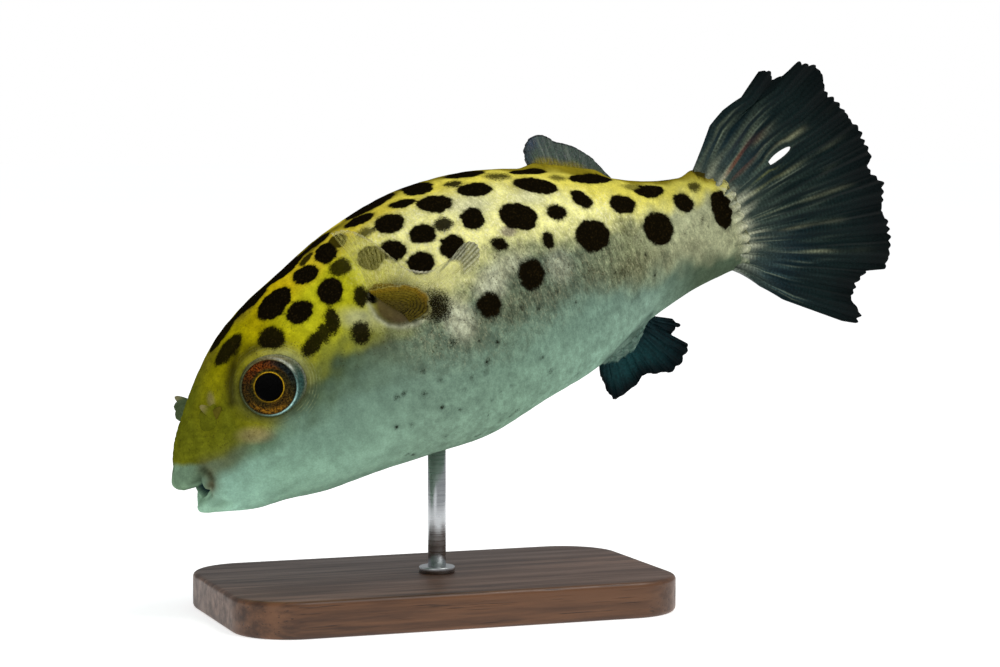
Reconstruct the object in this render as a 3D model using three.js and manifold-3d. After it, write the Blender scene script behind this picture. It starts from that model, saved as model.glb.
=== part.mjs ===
// A green spotted puffer, life size, swimming with its snout down, on a flat display stand.
// Millimetres, +Z up. The origin is the middle of the stand's underside.
// The fish is modelled level in its own frame: x runs from the snout to the tail, y to the right
// side, z up. Its group then tips it nose-down and lifts it over the stand.

import * as THREE from 'three';
import { mergeVertices } from 'three/addons/utils/BufferGeometryUtils.js';
import Module from 'manifold-3d';

const wasm = await Module();
wasm.setup();

// ---- driving sizes -------------------------------------------------------------------------

const PITCH = THREE.MathUtils.degToRad(22); // nose-down tilt of the swimming fish
const SNOUT = new THREE.Vector3(-44.5, 0, 25); // the snout's tip over the stand
const GAP = 0.3; // clearance between neighbouring solids

// Cross-sections from the mouth to the tail root. Each lies in a plane that holds its top and
// bottom points: [top x, top z, bottom x, bottom z, half width, how far down it is widest,
// roundness above, roundness below].
const BODY_SECTIONS = [
  [0.3, -3.8, 0.3, -3.8, 0.0, 0.5, 2.0, 2.0],
  [-0.4, -1.6, 1.5, -6.2, 3.2, 0.5, 2.0, 2.0],
  [0.7, 0.9, 2.1, -8.3, 5.0, 0.52, 2.0, 2.1],
  [2.4, 4.0, 3.9, -9.3, 6.7, 0.55, 2.0, 2.2],
  [5.5, 7.7, 6.6, -10.2, 8.4, 0.58, 2.0, 2.3],
  [9.4, 11.9, 10.4, -11.3, 10.3, 0.6, 2.0, 2.3],
  [14.5, 16.2, 15.1, -11.8, 12.3, 0.6, 2.05, 2.3],
  [20.5, 19.4, 21.1, -13.1, 14.1, 0.58, 2.1, 2.3],
  [29.1, 22.4, 29.1, -13.8, 15.9, 0.56, 2.1, 2.3],
  [39.0, 25.4, 39.1, -14.9, 17.1, 0.54, 2.1, 2.3],
  [50.0, 27.0, 50.0, -16.2, 17.4, 0.53, 2.1, 2.3],
  [62.0, 26.1, 61.9, -14.9, 16.0, 0.53, 2.1, 2.3],
  [73.0, 22.6, 73.0, -13.8, 13.0, 0.53, 2.1, 2.2],
  [84.0, 17.0, 84.0, -10.6, 9.4, 0.53, 2.1, 2.1],
  [95.0, 11.3, 95.0, -8.8, 6.3, 0.53, 2.0, 2.0],
  [103.0, 9.1, 103.0, -8.6, 4.2, 0.53, 2.0, 2.0],
  [107.5, 7.6, 107.0, -8.6, 2.8, 0.53, 2.0, 2.0],
];
const BODY_RINGS = 35;
const BODY_SIDES = 32;
const TAIL_ROOT_DOME = 0.9; // how far the closed end bulges into the tail fin

const GILL_CUT = { x: 37.6, lean: 0.12 }; // plane between head and trunk, at the gill openings
const PEDUNCLE_CUT = { x: 90.5, lean: 0 }; // plane between trunk and tail stem

const EYE = {
  centre: [18.8, 9.0, 7.4], // the left eye's is at -y
  outward: [-0.26, 0.93, 0.25],
  radius: 6.2,
  depth: 5.0, // half its size along the outward axis
};

const MOUTH = {
  centre: [0.1, 0, -4.7],
  reach: 4.4,
  halfWidth: 4.4,
  halfOpening: 1.25,
  rise: THREE.MathUtils.degToRad(10),
};

const GILL_SLIT = { centre: [39.0, 16.3, 11.8], half: [0.8, 1.6, 3.0] }; // across the gill cut

const NASAL_FLAP = {
  root: [8.2, 7.3, 6.6], // the left one is at -y
  outward: [-0.78, 0.5, 0.1],
  lobes: [{ height: 2.4, lean: 1.5 }, { height: 3.2, lean: -0.6 }],
  lobeWidth: 1.5,
  thickness: 0.6,
};

// Fans of the unpaired fins: fin rays leave a hinge point at an angle from the body's axis.
// Margin: [angle in degrees, reach]. Edges: [angle, share of the reach].
const CAUDAL_FAN = {
  hinge: [92, -1],
  rootReach: 11,
  margin: [
    [-41.2, 37.0], [-40.4, 39.6], [-38.2, 40.1], [-35.2, 37.3], [-29.5, 38.0], [-27.0, 39.2],
    [-26.2, 43.3], [-21.3, 43.6], [-16.6, 43.7], [-13.2, 42.4], [-6.2, 43.5], [-0.7, 41.5],
    [0.6, 43.1], [5.4, 43.2], [10.5, 42.9], [15.9, 42.3], [21.2, 41.8], [23.6, 43.5],
    [26.3, 43.4], [30.5, 41.4], [31.6, 38.0], [33.7, 36.2], [35.6, 37.2], [38.3, 36.2],
  ],
  lowerEdge: [[-31, 0], [-34.5, 0.17], [-39, 0.33], [-41.3, 0.52], [-41.2, 1]],
  upperEdge: [[42, 0], [45.5, 0.12], [46, 0.51], [43.5, 0.64], [39.4, 0.78], [38.3, 1]],
  rootThickness: 2.6,
  marginThickness: 0.6,
  folds: 11,
  foldDepth: 0.7,
};
const CAUDAL_SPLIT = { from: [116.2, 5.5], to: [121.4, 7.1], halfWidth: 0.6 };

// Dorsal and anal fins: rays from foot to tip, [foot x, foot z, tip x, tip z].
const DORSAL_RAYS = [
  [75.3, 20.9, 75.1, 23.2],
  [75.9, 20.5, 75.5, 24.9],
  [76.6, 20.2, 76.3, 25.8],
  [77.4, 19.8, 77.3, 26.4],
  [78.3, 19.4, 78.7, 26.4],
  [79.3, 18.8, 79.9, 25.7],
  [80.3, 18.3, 81.0, 24.3],
  [81.4, 17.7, 82.3, 23.4],
  [82.6, 17.0, 83.7, 22.3],
  [83.8, 16.4, 84.9, 20.9],
  [85.0, 15.7, 86.1, 19.3],
  [86.1, 15.1, 87.1, 17.2],
  [87.0, 14.5, 88.3, 14.6],
];
const ANAL_RAYS = [
  [75.2, -11.6, 74.3, -15.6],
  [75.7, -11.5, 74.4, -18.6],
  [76.5, -11.3, 75.1, -20.6],
  [77.6, -11.0, 77.1, -20.4],
  [78.7, -10.7, 79.7, -19.8],
  [79.8, -10.4, 81.2, -18.8],
  [80.8, -10.2, 83.2, -19.3],
  [81.8, -10.0, 86.0, -20.2],
  [82.6, -9.8, 88.2, -19.6],
  [83.3, -9.7, 90.0, -18.2],
  [83.9, -9.6, 90.6, -17.2],
  [84.3, -9.5, 88.6, -15.4],
  [84.6, -9.4, 89.6, -13.7],
  [84.8, -9.3, 90.7, -13.6],
  [85.0, -9.3, 89.6, -12.0],
];
const MEDIAN_FIN = { rootThickness: 2.2, marginThickness: 0.6, foldDepth: 0.3 };

// Paddle-shaped side fins: rays fan out from a sloping fleshy foot. [angle above the tailward
// direction, length, lift away from the body], degrees and millimetres.
const PECTORAL_FOOT = { top: [40.1, 14.1, 14.9], bottom: [41.9, 16.1, 9.4] };
const LEFT_PECTORAL_RAYS = [
  [114, 14.4, 15], [105, 14.0, 20], [96, 12.1, 29], [87, 10.3, 40], [74, 9.2, 50],
  [57, 9.7, 54], [41, 10.3, 49], [31, 12.0, 34], [30, 15.0, 23], [24, 16.0, 18],
  [17, 14.4, 18], [8, 10.8, 21], [-8, 7.4, 27],
];
const RIGHT_PECTORAL_RAYS = [
  [36, 12.6, 24], [31, 14.6, 27], [26, 15.6, 30], [20, 15.8, 32], [14, 16.0, 33],
  [8, 16.2, 34], [2, 16.2, 34], [-4, 16.0, 33], [-10, 15.4, 32], [-16, 14.4, 30],
  [-23, 12.8, 28], [-30, 10.8, 27], [-38, 8.0, 27],
];
const PECTORAL = { rootThickness: 1.8, marginThickness: 0.6, bow: 1.4 };

const STAND = {
  length: 76,
  depth: 44,
  height: 6,
  corner: 10,
  bevel: 0.8,
  rodRadius: 1.5,
  rodSocketDepth: 3.5,
  rodX: 0.6,
};

// ---- materials -----------------------------------------------------------------------------

const skinGreen = new THREE.MeshStandardMaterial({ color: 0xb4b54e, roughness: 0.45 });
const skinGrey = new THREE.MeshStandardMaterial({ color: 0x93a595, roughness: 0.45 });
const finClear = new THREE.MeshStandardMaterial({ color: 0xa89a48, roughness: 0.4 });
const finSmoke = new THREE.MeshStandardMaterial({ color: 0x4c5f60, roughness: 0.4 });
const finDark = new THREE.MeshStandardMaterial({ color: 0x16252c, roughness: 0.4 });
const eyeAmber = new THREE.MeshStandardMaterial({ color: 0x7a4a18, roughness: 0.1 });
const walnut = new THREE.MeshStandardMaterial({ color: 0x4b3021, roughness: 0.5 });
const steel = new THREE.MeshStandardMaterial({ color: 0xb9bcc0, roughness: 0.3, metalness: 1 });

// ---- curves --------------------------------------------------------------------------------

// Smooth curve through rows of numbers at the given knots.
function throughRows(knots, rows) {
  const last = rows.length - 1;
  const slope = (a, b, k) => (rows[b][k] - rows[a][k]) / (knots[b] - knots[a]);
  const tangents = rows.map((row, i) => row.map((_, k) => {
    if (i === 0) return slope(0, 1, k);
    if (i === last) return slope(last - 1, last, k);
    const before = knots[i] - knots[i - 1];
    const after = knots[i + 1] - knots[i];
    return (slope(i - 1, i, k) * after + slope(i, i + 1, k) * before) / (before + after);
  }));
  return (u) => {
    let i = 0;
    while (i < last - 1 && u >= knots[i + 1]) i += 1;
    const span = knots[i + 1] - knots[i];
    const t = (u - knots[i]) / span;
    const h00 = 2 * t ** 3 - 3 * t ** 2 + 1;
    const h10 = t ** 3 - 2 * t ** 2 + t;
    const h01 = -2 * t ** 3 + 3 * t ** 2;
    const h11 = t ** 3 - t ** 2;
    return rows[i].map((a, k) => h00 * a + h10 * span * tangents[i][k]
      + h01 * rows[i + 1][k] + h11 * span * tangents[i + 1][k]);
  };
}

// Straight lines through [key, value] points in rising order of key.
function throughPoints(points, key) {
  const i = Math.max(1, points.findIndex((p) => p[0] >= key));
  const [[k0, v0], [k1, v1]] = key > points.at(-1)[0] ? points.slice(-2) : [points[i - 1], points[i]];
  return v0 + (v1 - v0) * THREE.MathUtils.clamp((key - k0) / (k1 - k0), 0, 1);
}

const evenKnots = (rows) => rows.map((_, i) => i / (rows.length - 1));

// ---- meshes and solids ---------------------------------------------------------------------

function geometryOf(points, triangles) {
  const geometry = new THREE.BufferGeometry();
  geometry.setAttribute('position', new THREE.Float32BufferAttribute(points, 3));
  geometry.setIndex(triangles);
  return geometry;
}

function solid(geometry) {
  const bare = geometry.clone();
  bare.deleteAttribute('normal');
  bare.deleteAttribute('uv');
  const merged = mergeVertices(bare, 1e-5);
  return new wasm.Manifold(new wasm.Mesh({
    numProp: 3,
    vertProperties: Float32Array.from(merged.attributes.position.array),
    triVerts: Uint32Array.from(merged.index.array),
  }));
}

function geometryFromSolid(body) {
  const mesh = body.getMesh();
  return geometryOf(Array.from(mesh.vertProperties), Array.from(mesh.triVerts));
}

// The same surface moved outward everywhere by a distance.
function grown(geometry, distance) {
  const copy = geometry.clone();
  copy.computeVertexNormals();
  const { position, normal } = copy.attributes;
  for (let i = 0; i < position.count; i += 1) {
    position.setXYZ(
      i,
      position.getX(i) + normal.getX(i) * distance,
      position.getY(i) + normal.getY(i) * distance,
      position.getZ(i) + normal.getZ(i) * distance,
    );
  }
  return copy;
}

// A closed thin sheet about the surface middle(f, t): f runs across the rays, t along them.
function sheet(across, along, middle, thickness) {
  const points = [];
  const triangles = [];
  const step = 1e-3;
  const width = along + 1;
  const count = (across + 1) * width;
  for (const side of [1, -1]) {
    for (let i = 0; i <= across; i += 1) {
      for (let j = 0; j <= along; j += 1) {
        const f = i / across;
        const t = j / along;
        const df = middle(Math.min(f + step, 1), t).sub(middle(Math.max(f - step, 0), t));
        const dt = middle(f, Math.min(t + step, 1)).sub(middle(f, Math.max(t - step, 0)));
        const normal = df.cross(dt).normalize();
        points.push(...middle(f, t).addScaledVector(normal, side * thickness(f, t) / 2));
      }
    }
  }
  const quad = (a, b, c, d) => triangles.push(a, b, c, a, c, d);
  for (let i = 0; i < across; i += 1) {
    for (let j = 0; j < along; j += 1) {
      const a = i * width + j;
      quad(a, a + width, a + width + 1, a + 1);
      quad(count + a, count + a + 1, count + a + width + 1, count + a + width);
    }
    const root = i * width;
    const tip = root + along;
    quad(root, count + root, count + root + width, root + width);
    quad(tip, tip + width, count + tip + width, count + tip);
  }
  for (let j = 0; j < along; j += 1) {
    const last = across * width + j;
    quad(j, j + 1, count + j + 1, count + j);
    quad(last, count + last, count + last + 1, last + 1);
  }
  return geometryOf(points, triangles);
}

// ---- body ----------------------------------------------------------------------------------

function sectionKnots() {
  const knots = [0];
  for (let i = 1; i < BODY_SECTIONS.length; i += 1) {
    const [a, b] = [BODY_SECTIONS[i - 1], BODY_SECTIONS[i]];
    knots.push(knots[i - 1] + Math.hypot((b[0] + b[2] - a[0] - a[2]) / 2, b[4] - a[4]));
  }
  return knots;
}

const BODY_KNOTS = sectionKnots();
const bodySection = throughRows(BODY_KNOTS, BODY_SECTIONS);

// A point of the skin: u along the body, turn around it from the top over the left side.
function bodyPoint(u, turn) {
  const [topX, topZ, bottomX, bottomZ, halfWidth, widest, above, below] = bodySection(u);
  const middleX = topX + (bottomX - topX) * widest;
  const middleZ = topZ + (bottomZ - topZ) * widest;
  const up = Math.cos(turn);
  const round = up >= 0 ? above : below;
  const rise = Math.abs(up) ** (2 / round);
  const out = Math.sign(Math.sin(turn)) * Math.abs(Math.sin(turn)) ** (2 / round);
  const [endX, endZ] = up >= 0 ? [topX, topZ] : [bottomX, bottomZ];
  return [
    middleX + (endX - middleX) * rise,
    -halfWidth * out,
    middleZ + (endZ - middleZ) * rise,
  ];
}

function bodyGeometry() {
  const end = BODY_KNOTS.at(-1);
  const points = [bodyPoint(0, 0)].flat();
  for (let i = 1; i <= BODY_RINGS; i += 1) {
    const u = end * (i / BODY_RINGS) ** 1.35;
    for (let j = 0; j < BODY_SIDES; j += 1) {
      points.push(...bodyPoint(u, (j / BODY_SIDES) * 2 * Math.PI));
    }
  }
  const [topX, topZ, bottomX, bottomZ] = bodySection(end);
  points.push((topX + bottomX) / 2 + TAIL_ROOT_DOME, 0, (topZ + bottomZ) / 2);
  const tail = points.length / 3 - 1;
  const triangles = [];
  for (let j = 0; j < BODY_SIDES; j += 1) {
    const k = (j + 1) % BODY_SIDES;
    triangles.push(0, 1 + k, 1 + j);
    for (let i = 0; i < BODY_RINGS - 1; i += 1) {
      const a = 1 + i * BODY_SIDES;
      const b = a + BODY_SIDES;
      triangles.push(a + j, a + k, b + k, a + j, b + k, b + j);
    }
    const rim = 1 + (BODY_RINGS - 1) * BODY_SIDES;
    triangles.push(tail, rim + j, rim + k);
  }
  return geometryOf(points, triangles);
}

// A block that covers the fish from one leaning cross-plane to the next.
function lengthwiseBlock(from, to) {
  const reach = 60;
  const block = new THREE.BoxGeometry(to.x - from.x, 2 * reach, 2 * reach);
  const { position } = block.attributes;
  const middle = (from.x + to.x) / 2;
  for (let i = 0; i < position.count; i += 1) {
    const plane = position.getX(i) < 0 ? from : to;
    position.setX(i, position.getX(i) + middle + plane.lean * position.getZ(i));
  }
  return solid(block);
}

const shifted = (plane, dx) => ({ x: plane.x + dx, lean: plane.lean });

function ellipsoid(centre, half, rotation = new THREE.Quaternion(), detail = 20) {
  const ball = new THREE.SphereGeometry(1, detail, Math.round(detail / 2));
  return ball.applyMatrix4(new THREE.Matrix4().compose(
    new THREE.Vector3(...centre),
    rotation,
    new THREE.Vector3(...half),
  ));
}

const onSide = (side, [x, y, z]) => [x, side * y, z];

function eyeball(side, extra = 0) {
  const outward = new THREE.Vector3(...onSide(side, EYE.outward)).normalize();
  const aim = new THREE.Quaternion().setFromUnitVectors(new THREE.Vector3(0, 1, 0), outward);
  const radius = EYE.radius + extra;
  return ellipsoid(onSide(side, EYE.centre), [radius, EYE.depth + extra, radius], aim);
}

function mouthCleft() {
  const rise = new THREE.Quaternion().setFromAxisAngle(new THREE.Vector3(0, 1, 0), -MOUTH.rise);
  return ellipsoid(MOUTH.centre, [MOUTH.reach, MOUTH.halfWidth, MOUTH.halfOpening], rise, 16);
}

function gillSlit(side) {
  return ellipsoid(onSide(side, GILL_SLIT.centre), GILL_SLIT.half, undefined, 10);
}

const LEFT = -1;
const RIGHT = 1;

const skin = bodyGeometry();
const body = solid(skin);
const bodyWithGap = solid(grown(skin, GAP));

function head() {
  const front = lengthwiseBlock({ x: -20, lean: 0 }, shifted(GILL_CUT, -GAP / 2));
  return [LEFT, RIGHT].reduce(
    (rest, side) => rest.subtract(solid(eyeball(side, GAP))).subtract(solid(gillSlit(side))),
    body.intersect(front).subtract(solid(mouthCleft())),
  );
}

function trunk() {
  const block = lengthwiseBlock(shifted(GILL_CUT, GAP / 2), shifted(PEDUNCLE_CUT, -GAP / 2));
  return [LEFT, RIGHT].reduce(
    (rest, side) => rest.subtract(solid(gillSlit(side))),
    body.intersect(block),
  );
}

function caudalPeduncle() {
  return body.intersect(lengthwiseBlock(shifted(PEDUNCLE_CUT, GAP / 2), { x: 130, lean: 0 }));
}

// ---- fins ----------------------------------------------------------------------------------

const taper = (fin) => (_, t) => fin.rootThickness
  + (fin.marginThickness - fin.rootThickness) * Math.min(1, t * 1.6);

function caudalFin() {
  const fan = CAUDAL_FAN;
  const edge = (points, t) => throughPoints(points.map(([angle, share]) => [share, angle]), t);
  const first = fan.margin[0][0];
  const last = fan.margin.at(-1)[0];
  const middle = (f, t) => {
    const reach = throughPoints(fan.margin, first + (last - first) * f);
    const angle = THREE.MathUtils.degToRad(THREE.MathUtils.lerp(
      edge(fan.lowerEdge, t),
      edge(fan.upperEdge, t),
      f,
    ));
    const radius = fan.rootReach + (reach - fan.rootReach) * t;
    const fold = fan.foldDepth * t * Math.sin(2 * Math.PI * fan.folds * f);
    return new THREE.Vector3(
      fan.hinge[0] + radius * Math.cos(angle),
      fold,
      fan.hinge[1] + radius * Math.sin(angle),
    );
  };
  const [x0, z0] = CAUDAL_SPLIT.from;
  const [x1, z1] = CAUDAL_SPLIT.to;
  const lie = new THREE.Quaternion().setFromAxisAngle(
    new THREE.Vector3(0, 1, 0),
    -Math.atan2(z1 - z0, x1 - x0),
  );
  const half = [Math.hypot(x1 - x0, z1 - z0) / 2, 5, CAUDAL_SPLIT.halfWidth];
  const split = ellipsoid([(x0 + x1) / 2, 0, (z0 + z1) / 2], half, lie, 10);
  return solid(sheet(48, 6, middle, taper(fan))).subtract(bodyWithGap).subtract(solid(split));
}

function medianFin(rays, across) {
  const ray = throughRows(evenKnots(rays), rays);
  const middle = (f, t) => {
    const [footX, footZ, tipX, tipZ] = ray(f);
    const fold = MEDIAN_FIN.foldDepth * t * Math.sin(2 * Math.PI * rays.length * f);
    return new THREE.Vector3(
      THREE.MathUtils.lerp(footX, tipX, t),
      fold,
      THREE.MathUtils.lerp(footZ, tipZ, t),
    );
  };
  return solid(sheet(across, 4, middle, taper(MEDIAN_FIN))).subtract(bodyWithGap);
}

function pectoralFin(side, rays) {
  const ray = throughRows(evenKnots(rays), rays);
  const top = new THREE.Vector3(...onSide(side, PECTORAL_FOOT.top));
  const bottom = new THREE.Vector3(...onSide(side, PECTORAL_FOOT.bottom));
  const middle = (f, t) => {
    const [angle, length, lift] = ray(f);
    const a = THREE.MathUtils.degToRad(angle);
    const b = THREE.MathUtils.degToRad(lift);
    const bow = PECTORAL.bow * Math.sin(Math.PI * t);
    const direction = new THREE.Vector3(
      Math.cos(a) * Math.cos(b),
      side * Math.sin(b),
      Math.sin(a) * Math.cos(b),
    );
    return top.clone().lerp(bottom, f)
      .addScaledVector(direction, length * t)
      .add(new THREE.Vector3(0, side * bow, 0));
  };
  return solid(sheet(24, 6, middle, taper(PECTORAL))).subtract(bodyWithGap);
}

// A forked tentacle beside the snout: two flat round-ended lobes on one foot.
function nasalFlap(side) {
  const flap = NASAL_FLAP;
  const outline = new THREE.Shape();
  const half = flap.lobeWidth / 2;
  const [fore, aft] = flap.lobes;
  outline.moveTo(-half * 1.5, -1.5);
  outline.lineTo(half * 1.5, -1.5);
  outline.lineTo(half * 1.7, 0.6);
  outline.quadraticCurveTo(fore.lean + half * 2.2, fore.height, fore.lean + half, fore.height);
  outline.quadraticCurveTo(half * 0.3, fore.height * 0.8, 0, fore.height * 0.4);
  outline.quadraticCurveTo(-half * 0.3, aft.height * 0.9, aft.lean - half, aft.height);
  outline.quadraticCurveTo(aft.lean - half * 2.2, aft.height * 0.8, -half * 1.7, 0.6);
  const plate = new THREE.ExtrudeGeometry(outline, {
    depth: flap.thickness,
    bevelEnabled: false,
    curveSegments: 6,
  });
  plate.translate(0, 0, -flap.thickness / 2);
  const up = new THREE.Vector3(...onSide(side, flap.outward)).normalize();
  const across = new THREE.Vector3(0, 0, 1).addScaledVector(up, -up.z).normalize();
  const through = across.clone().cross(up);
  plate.applyMatrix4(new THREE.Matrix4().makeBasis(across, up, through)
    .setPosition(...onSide(side, flap.root)));
  return solid(plate).subtract(bodyWithGap);
}

// ---- stand ---------------------------------------------------------------------------------

function rodHole(radius, bottom, top) {
  const rod = new THREE.CylinderGeometry(radius, radius, top - bottom, 20);
  rod.rotateX(Math.PI / 2);
  return rod.translate(STAND.rodX, 0, (bottom + top) / 2);
}

function standBase() {
  const { length, depth, height, corner, bevel } = STAND;
  const x = length / 2 - bevel;
  const y = depth / 2 - bevel;
  const r = corner - bevel;
  const outline = new THREE.Shape();
  outline.moveTo(x - r, -y);
  outline.absarc(x - r, -y + r, r, -Math.PI / 2, 0);
  outline.absarc(x - r, y - r, r, 0, Math.PI / 2);
  outline.absarc(-x + r, y - r, r, Math.PI / 2, Math.PI);
  outline.absarc(-x + r, -y + r, r, Math.PI, Math.PI * 1.5);
  const slab = new THREE.ExtrudeGeometry(outline, {
    depth: height - 2 * bevel,
    bevelThickness: bevel,
    bevelSize: bevel,
    bevelSegments: 1,
    curveSegments: 6,
  });
  slab.translate(0, 0, bevel);
  const socket = rodHole(STAND.rodRadius + GAP, height - STAND.rodSocketDepth, height + 1);
  return solid(slab).subtract(solid(socket));
}

function standRod(fish) {
  const belly = grown(skin, GAP).applyMatrix4(fish.matrix);
  const bottom = STAND.height - STAND.rodSocketDepth + GAP;
  return solid(rodHole(STAND.rodRadius, bottom, SNOUT.z + 10)).subtract(solid(belly));
}

// ---- assembly ------------------------------------------------------------------------------

function add(group, name, shape, material) {
  const geometry = shape instanceof THREE.BufferGeometry ? shape : geometryFromSolid(shape);
  const mesh = new THREE.Mesh(geometry, material);
  mesh.name = name;
  group.add(mesh);
}

const fish = new THREE.Group();
fish.position.copy(SNOUT);
fish.rotation.y = -PITCH;
fish.updateMatrix();

add(fish, 'head', head(), skinGreen);
add(fish, 'trunk', trunk(), skinGrey);
add(fish, 'caudal_peduncle', caudalPeduncle(), skinGreen);
add(fish, 'eye_left', eyeball(LEFT), eyeAmber);
add(fish, 'eye_right', eyeball(RIGHT), eyeAmber);
add(fish, 'nasal_flap_left', nasalFlap(LEFT), skinGreen);
add(fish, 'nasal_flap_right', nasalFlap(RIGHT), skinGreen);
add(fish, 'dorsal_fin', medianFin(DORSAL_RAYS, 18), finSmoke);
add(fish, 'anal_fin', medianFin(ANAL_RAYS, 24), finDark);
add(fish, 'caudal_fin', caudalFin(), finDark);
add(fish, 'pectoral_fin_left', pectoralFin(LEFT, LEFT_PECTORAL_RAYS), finClear);
add(fish, 'pectoral_fin_right', pectoralFin(RIGHT, RIGHT_PECTORAL_RAYS), finClear);

const model = new THREE.Group();
model.add(fish);
add(model, 'stand_base', standBase(), walnut);
add(model, 'stand_rod', standRod(fish), steel);

export default model;
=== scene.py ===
"""A green spotted puffer, life size, swimming snout-down on a plain display stand.

The fish is built level in its own frame, in millimetres: x runs from the snout to the tail, y to
the right side, z up. to_row() tips it nose-down, lifts it over the stand and turns it to metres.
"""

import math

import bpy
import numpy as np
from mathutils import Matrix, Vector


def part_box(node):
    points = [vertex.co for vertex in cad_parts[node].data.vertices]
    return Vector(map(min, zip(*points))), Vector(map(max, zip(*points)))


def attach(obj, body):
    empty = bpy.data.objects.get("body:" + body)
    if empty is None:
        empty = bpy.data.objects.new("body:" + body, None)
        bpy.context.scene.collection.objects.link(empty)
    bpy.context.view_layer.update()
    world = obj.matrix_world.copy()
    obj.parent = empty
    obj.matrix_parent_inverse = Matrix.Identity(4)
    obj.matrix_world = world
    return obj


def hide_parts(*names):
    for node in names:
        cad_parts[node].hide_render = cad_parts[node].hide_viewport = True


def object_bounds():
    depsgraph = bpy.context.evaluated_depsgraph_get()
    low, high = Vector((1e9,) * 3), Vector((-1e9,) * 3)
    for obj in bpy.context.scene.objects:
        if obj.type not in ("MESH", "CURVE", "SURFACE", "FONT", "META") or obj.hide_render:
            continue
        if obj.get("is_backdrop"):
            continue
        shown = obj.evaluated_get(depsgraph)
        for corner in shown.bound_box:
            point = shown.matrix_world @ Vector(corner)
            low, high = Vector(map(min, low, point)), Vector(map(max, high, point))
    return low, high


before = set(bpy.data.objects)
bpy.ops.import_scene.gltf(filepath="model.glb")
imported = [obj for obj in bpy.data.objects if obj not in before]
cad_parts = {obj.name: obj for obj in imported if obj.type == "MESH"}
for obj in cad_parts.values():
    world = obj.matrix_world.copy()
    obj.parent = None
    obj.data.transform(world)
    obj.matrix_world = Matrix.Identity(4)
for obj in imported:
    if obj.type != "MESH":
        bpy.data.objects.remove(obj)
cad_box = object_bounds()

# ---- driving sizes ---------------------------------------------------------------------------

MM = 0.001
LEFT = -1
RIGHT = 1

PITCH = math.radians(22)  # nose-down tilt of the swimming fish
SNOUT = (-44.5, 0.0, 25.0)  # the snout's tip over the stand, mm

# Cross-sections from the mouth to the tail root: [top x, top z, bottom x, bottom z, half width,
# how far down it is widest, roundness above, roundness below].
BODY_SECTIONS = [
    [0.3, -3.8, 0.3, -3.8, 0.0, 0.5, 2.0, 2.0],
    [-0.4, -1.6, 1.5, -6.2, 3.2, 0.5, 2.0, 2.0],
    [0.7, 0.9, 2.1, -8.3, 5.0, 0.52, 2.0, 2.1],
    [2.4, 4.0, 3.9, -9.3, 6.7, 0.55, 2.0, 2.2],
    [5.5, 7.7, 6.6, -10.2, 8.4, 0.58, 2.0, 2.3],
    [9.4, 11.9, 10.4, -11.3, 10.3, 0.6, 2.0, 2.3],
    [14.5, 16.2, 15.1, -11.8, 12.3, 0.6, 2.05, 2.3],
    [20.5, 19.4, 21.1, -13.1, 14.1, 0.58, 2.1, 2.3],
    [29.1, 22.4, 29.1, -13.8, 15.9, 0.56, 2.1, 2.3],
    [39.0, 25.4, 39.1, -14.9, 17.1, 0.54, 2.1, 2.3],
    [50.0, 27.0, 50.0, -16.2, 17.4, 0.53, 2.1, 2.3],
    [62.0, 26.1, 61.9, -14.9, 16.0, 0.53, 2.1, 2.3],
    [73.0, 22.6, 73.0, -13.8, 13.0, 0.53, 2.1, 2.2],
    [84.0, 17.0, 84.0, -10.6, 9.4, 0.53, 2.1, 2.1],
    [95.0, 11.3, 95.0, -8.8, 6.3, 0.53, 2.0, 2.0],
    [103.0, 9.1, 103.0, -8.6, 4.2, 0.53, 2.0, 2.0],
    [107.5, 7.6, 107.0, -8.6, 2.8, 0.53, 2.0, 2.0],
]
SKIN_RINGS = 338
SKIN_SIDES = 280
RING_PITCH = {"lips": 0.13, "head": 0.21, "trunk": 0.42}  # spacing of the rings, relative
SIDE_CROWDING = 0.35  # how much closer the skin's points lie on the flanks than on back and belly
TAIL_ROOT = {"dome": 0.2, "reach": 108.3, "cut_back": 2.7, "middle_z": -0.8, "thin": 0.84}

EYE = {
    "centre": (18.8, 9.0, 7.4),
    "outward": (-0.26, 0.93, 0.25),
    "radius": 6.2,
    "depth": 5.0,  # half its size along the outward axis
    "rim": 5.45,  # radius where the skin meets the ball, ahead and behind
    "squint": 0.55,  # how much less that is above and below
    "iris": 4.35,
    "pupil": 2.25,
    "iris_shift": (-0.64, -0.1),  # tailward and up, within the ring
    "hidden_edge": 6.05,  # where the ball's surface ends under the skin
    "sides": 192,
}
LID_RING_SPACING = 0.5  # of the fine rings in the skin round the eye

# The mouth is a slit across the front of the snout, higher at its corners.
MOUTH = {
    "z": -4.8,
    "bow": 0.06,
    "half_width": 6.3,
    # How far the front is set back above and below the slit's line: [height, set back].
    "profile": [(-4.2, 0), (-3.4, -0.25), (-2.5, -0.1), (-1.95, 0.35), (-1.5, 1.2), (-1.0, 1.9),
                (0.0, 2.1), (0.72, 2.1), (0.92, 1.2), (1.12, 0.2), (1.7, -0.15), (2.5, 0)],
    "gap": (-1.05, 0.72),
    "depth": 2.4,
    "narrow": 0.3,  # how much the throat is narrower than the snout
    "jaw_slope": 0.36,  # how fast the lower lip falls back towards the sides
}

# The nasal flap beside the snout: the foot of its four lobes, and each one's reach, half width
# and bluntness.
NASAL_FLAP = {
    "foot": (8.2, 7.3, 6.4),
    "lobes": [
        ((-1.7, 1.3, 2.9), 1.1, 1.7), ((-2.45, 1.25, 1.5), 1.5, 3.0),
        ((-2.9, 1.2, -0.5), 1.6, 3.0), ((1.5, 0.7, 1.3), 0.7, 2.8),
    ],
    "pointed_lobe": 0,
    "rear_lobe": 3,
    "thickness": 0.34,
    "sunk": 1.2,  # how deep the lobes start in the snout
    "steps": 20,
    "sides": 18,
}

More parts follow.
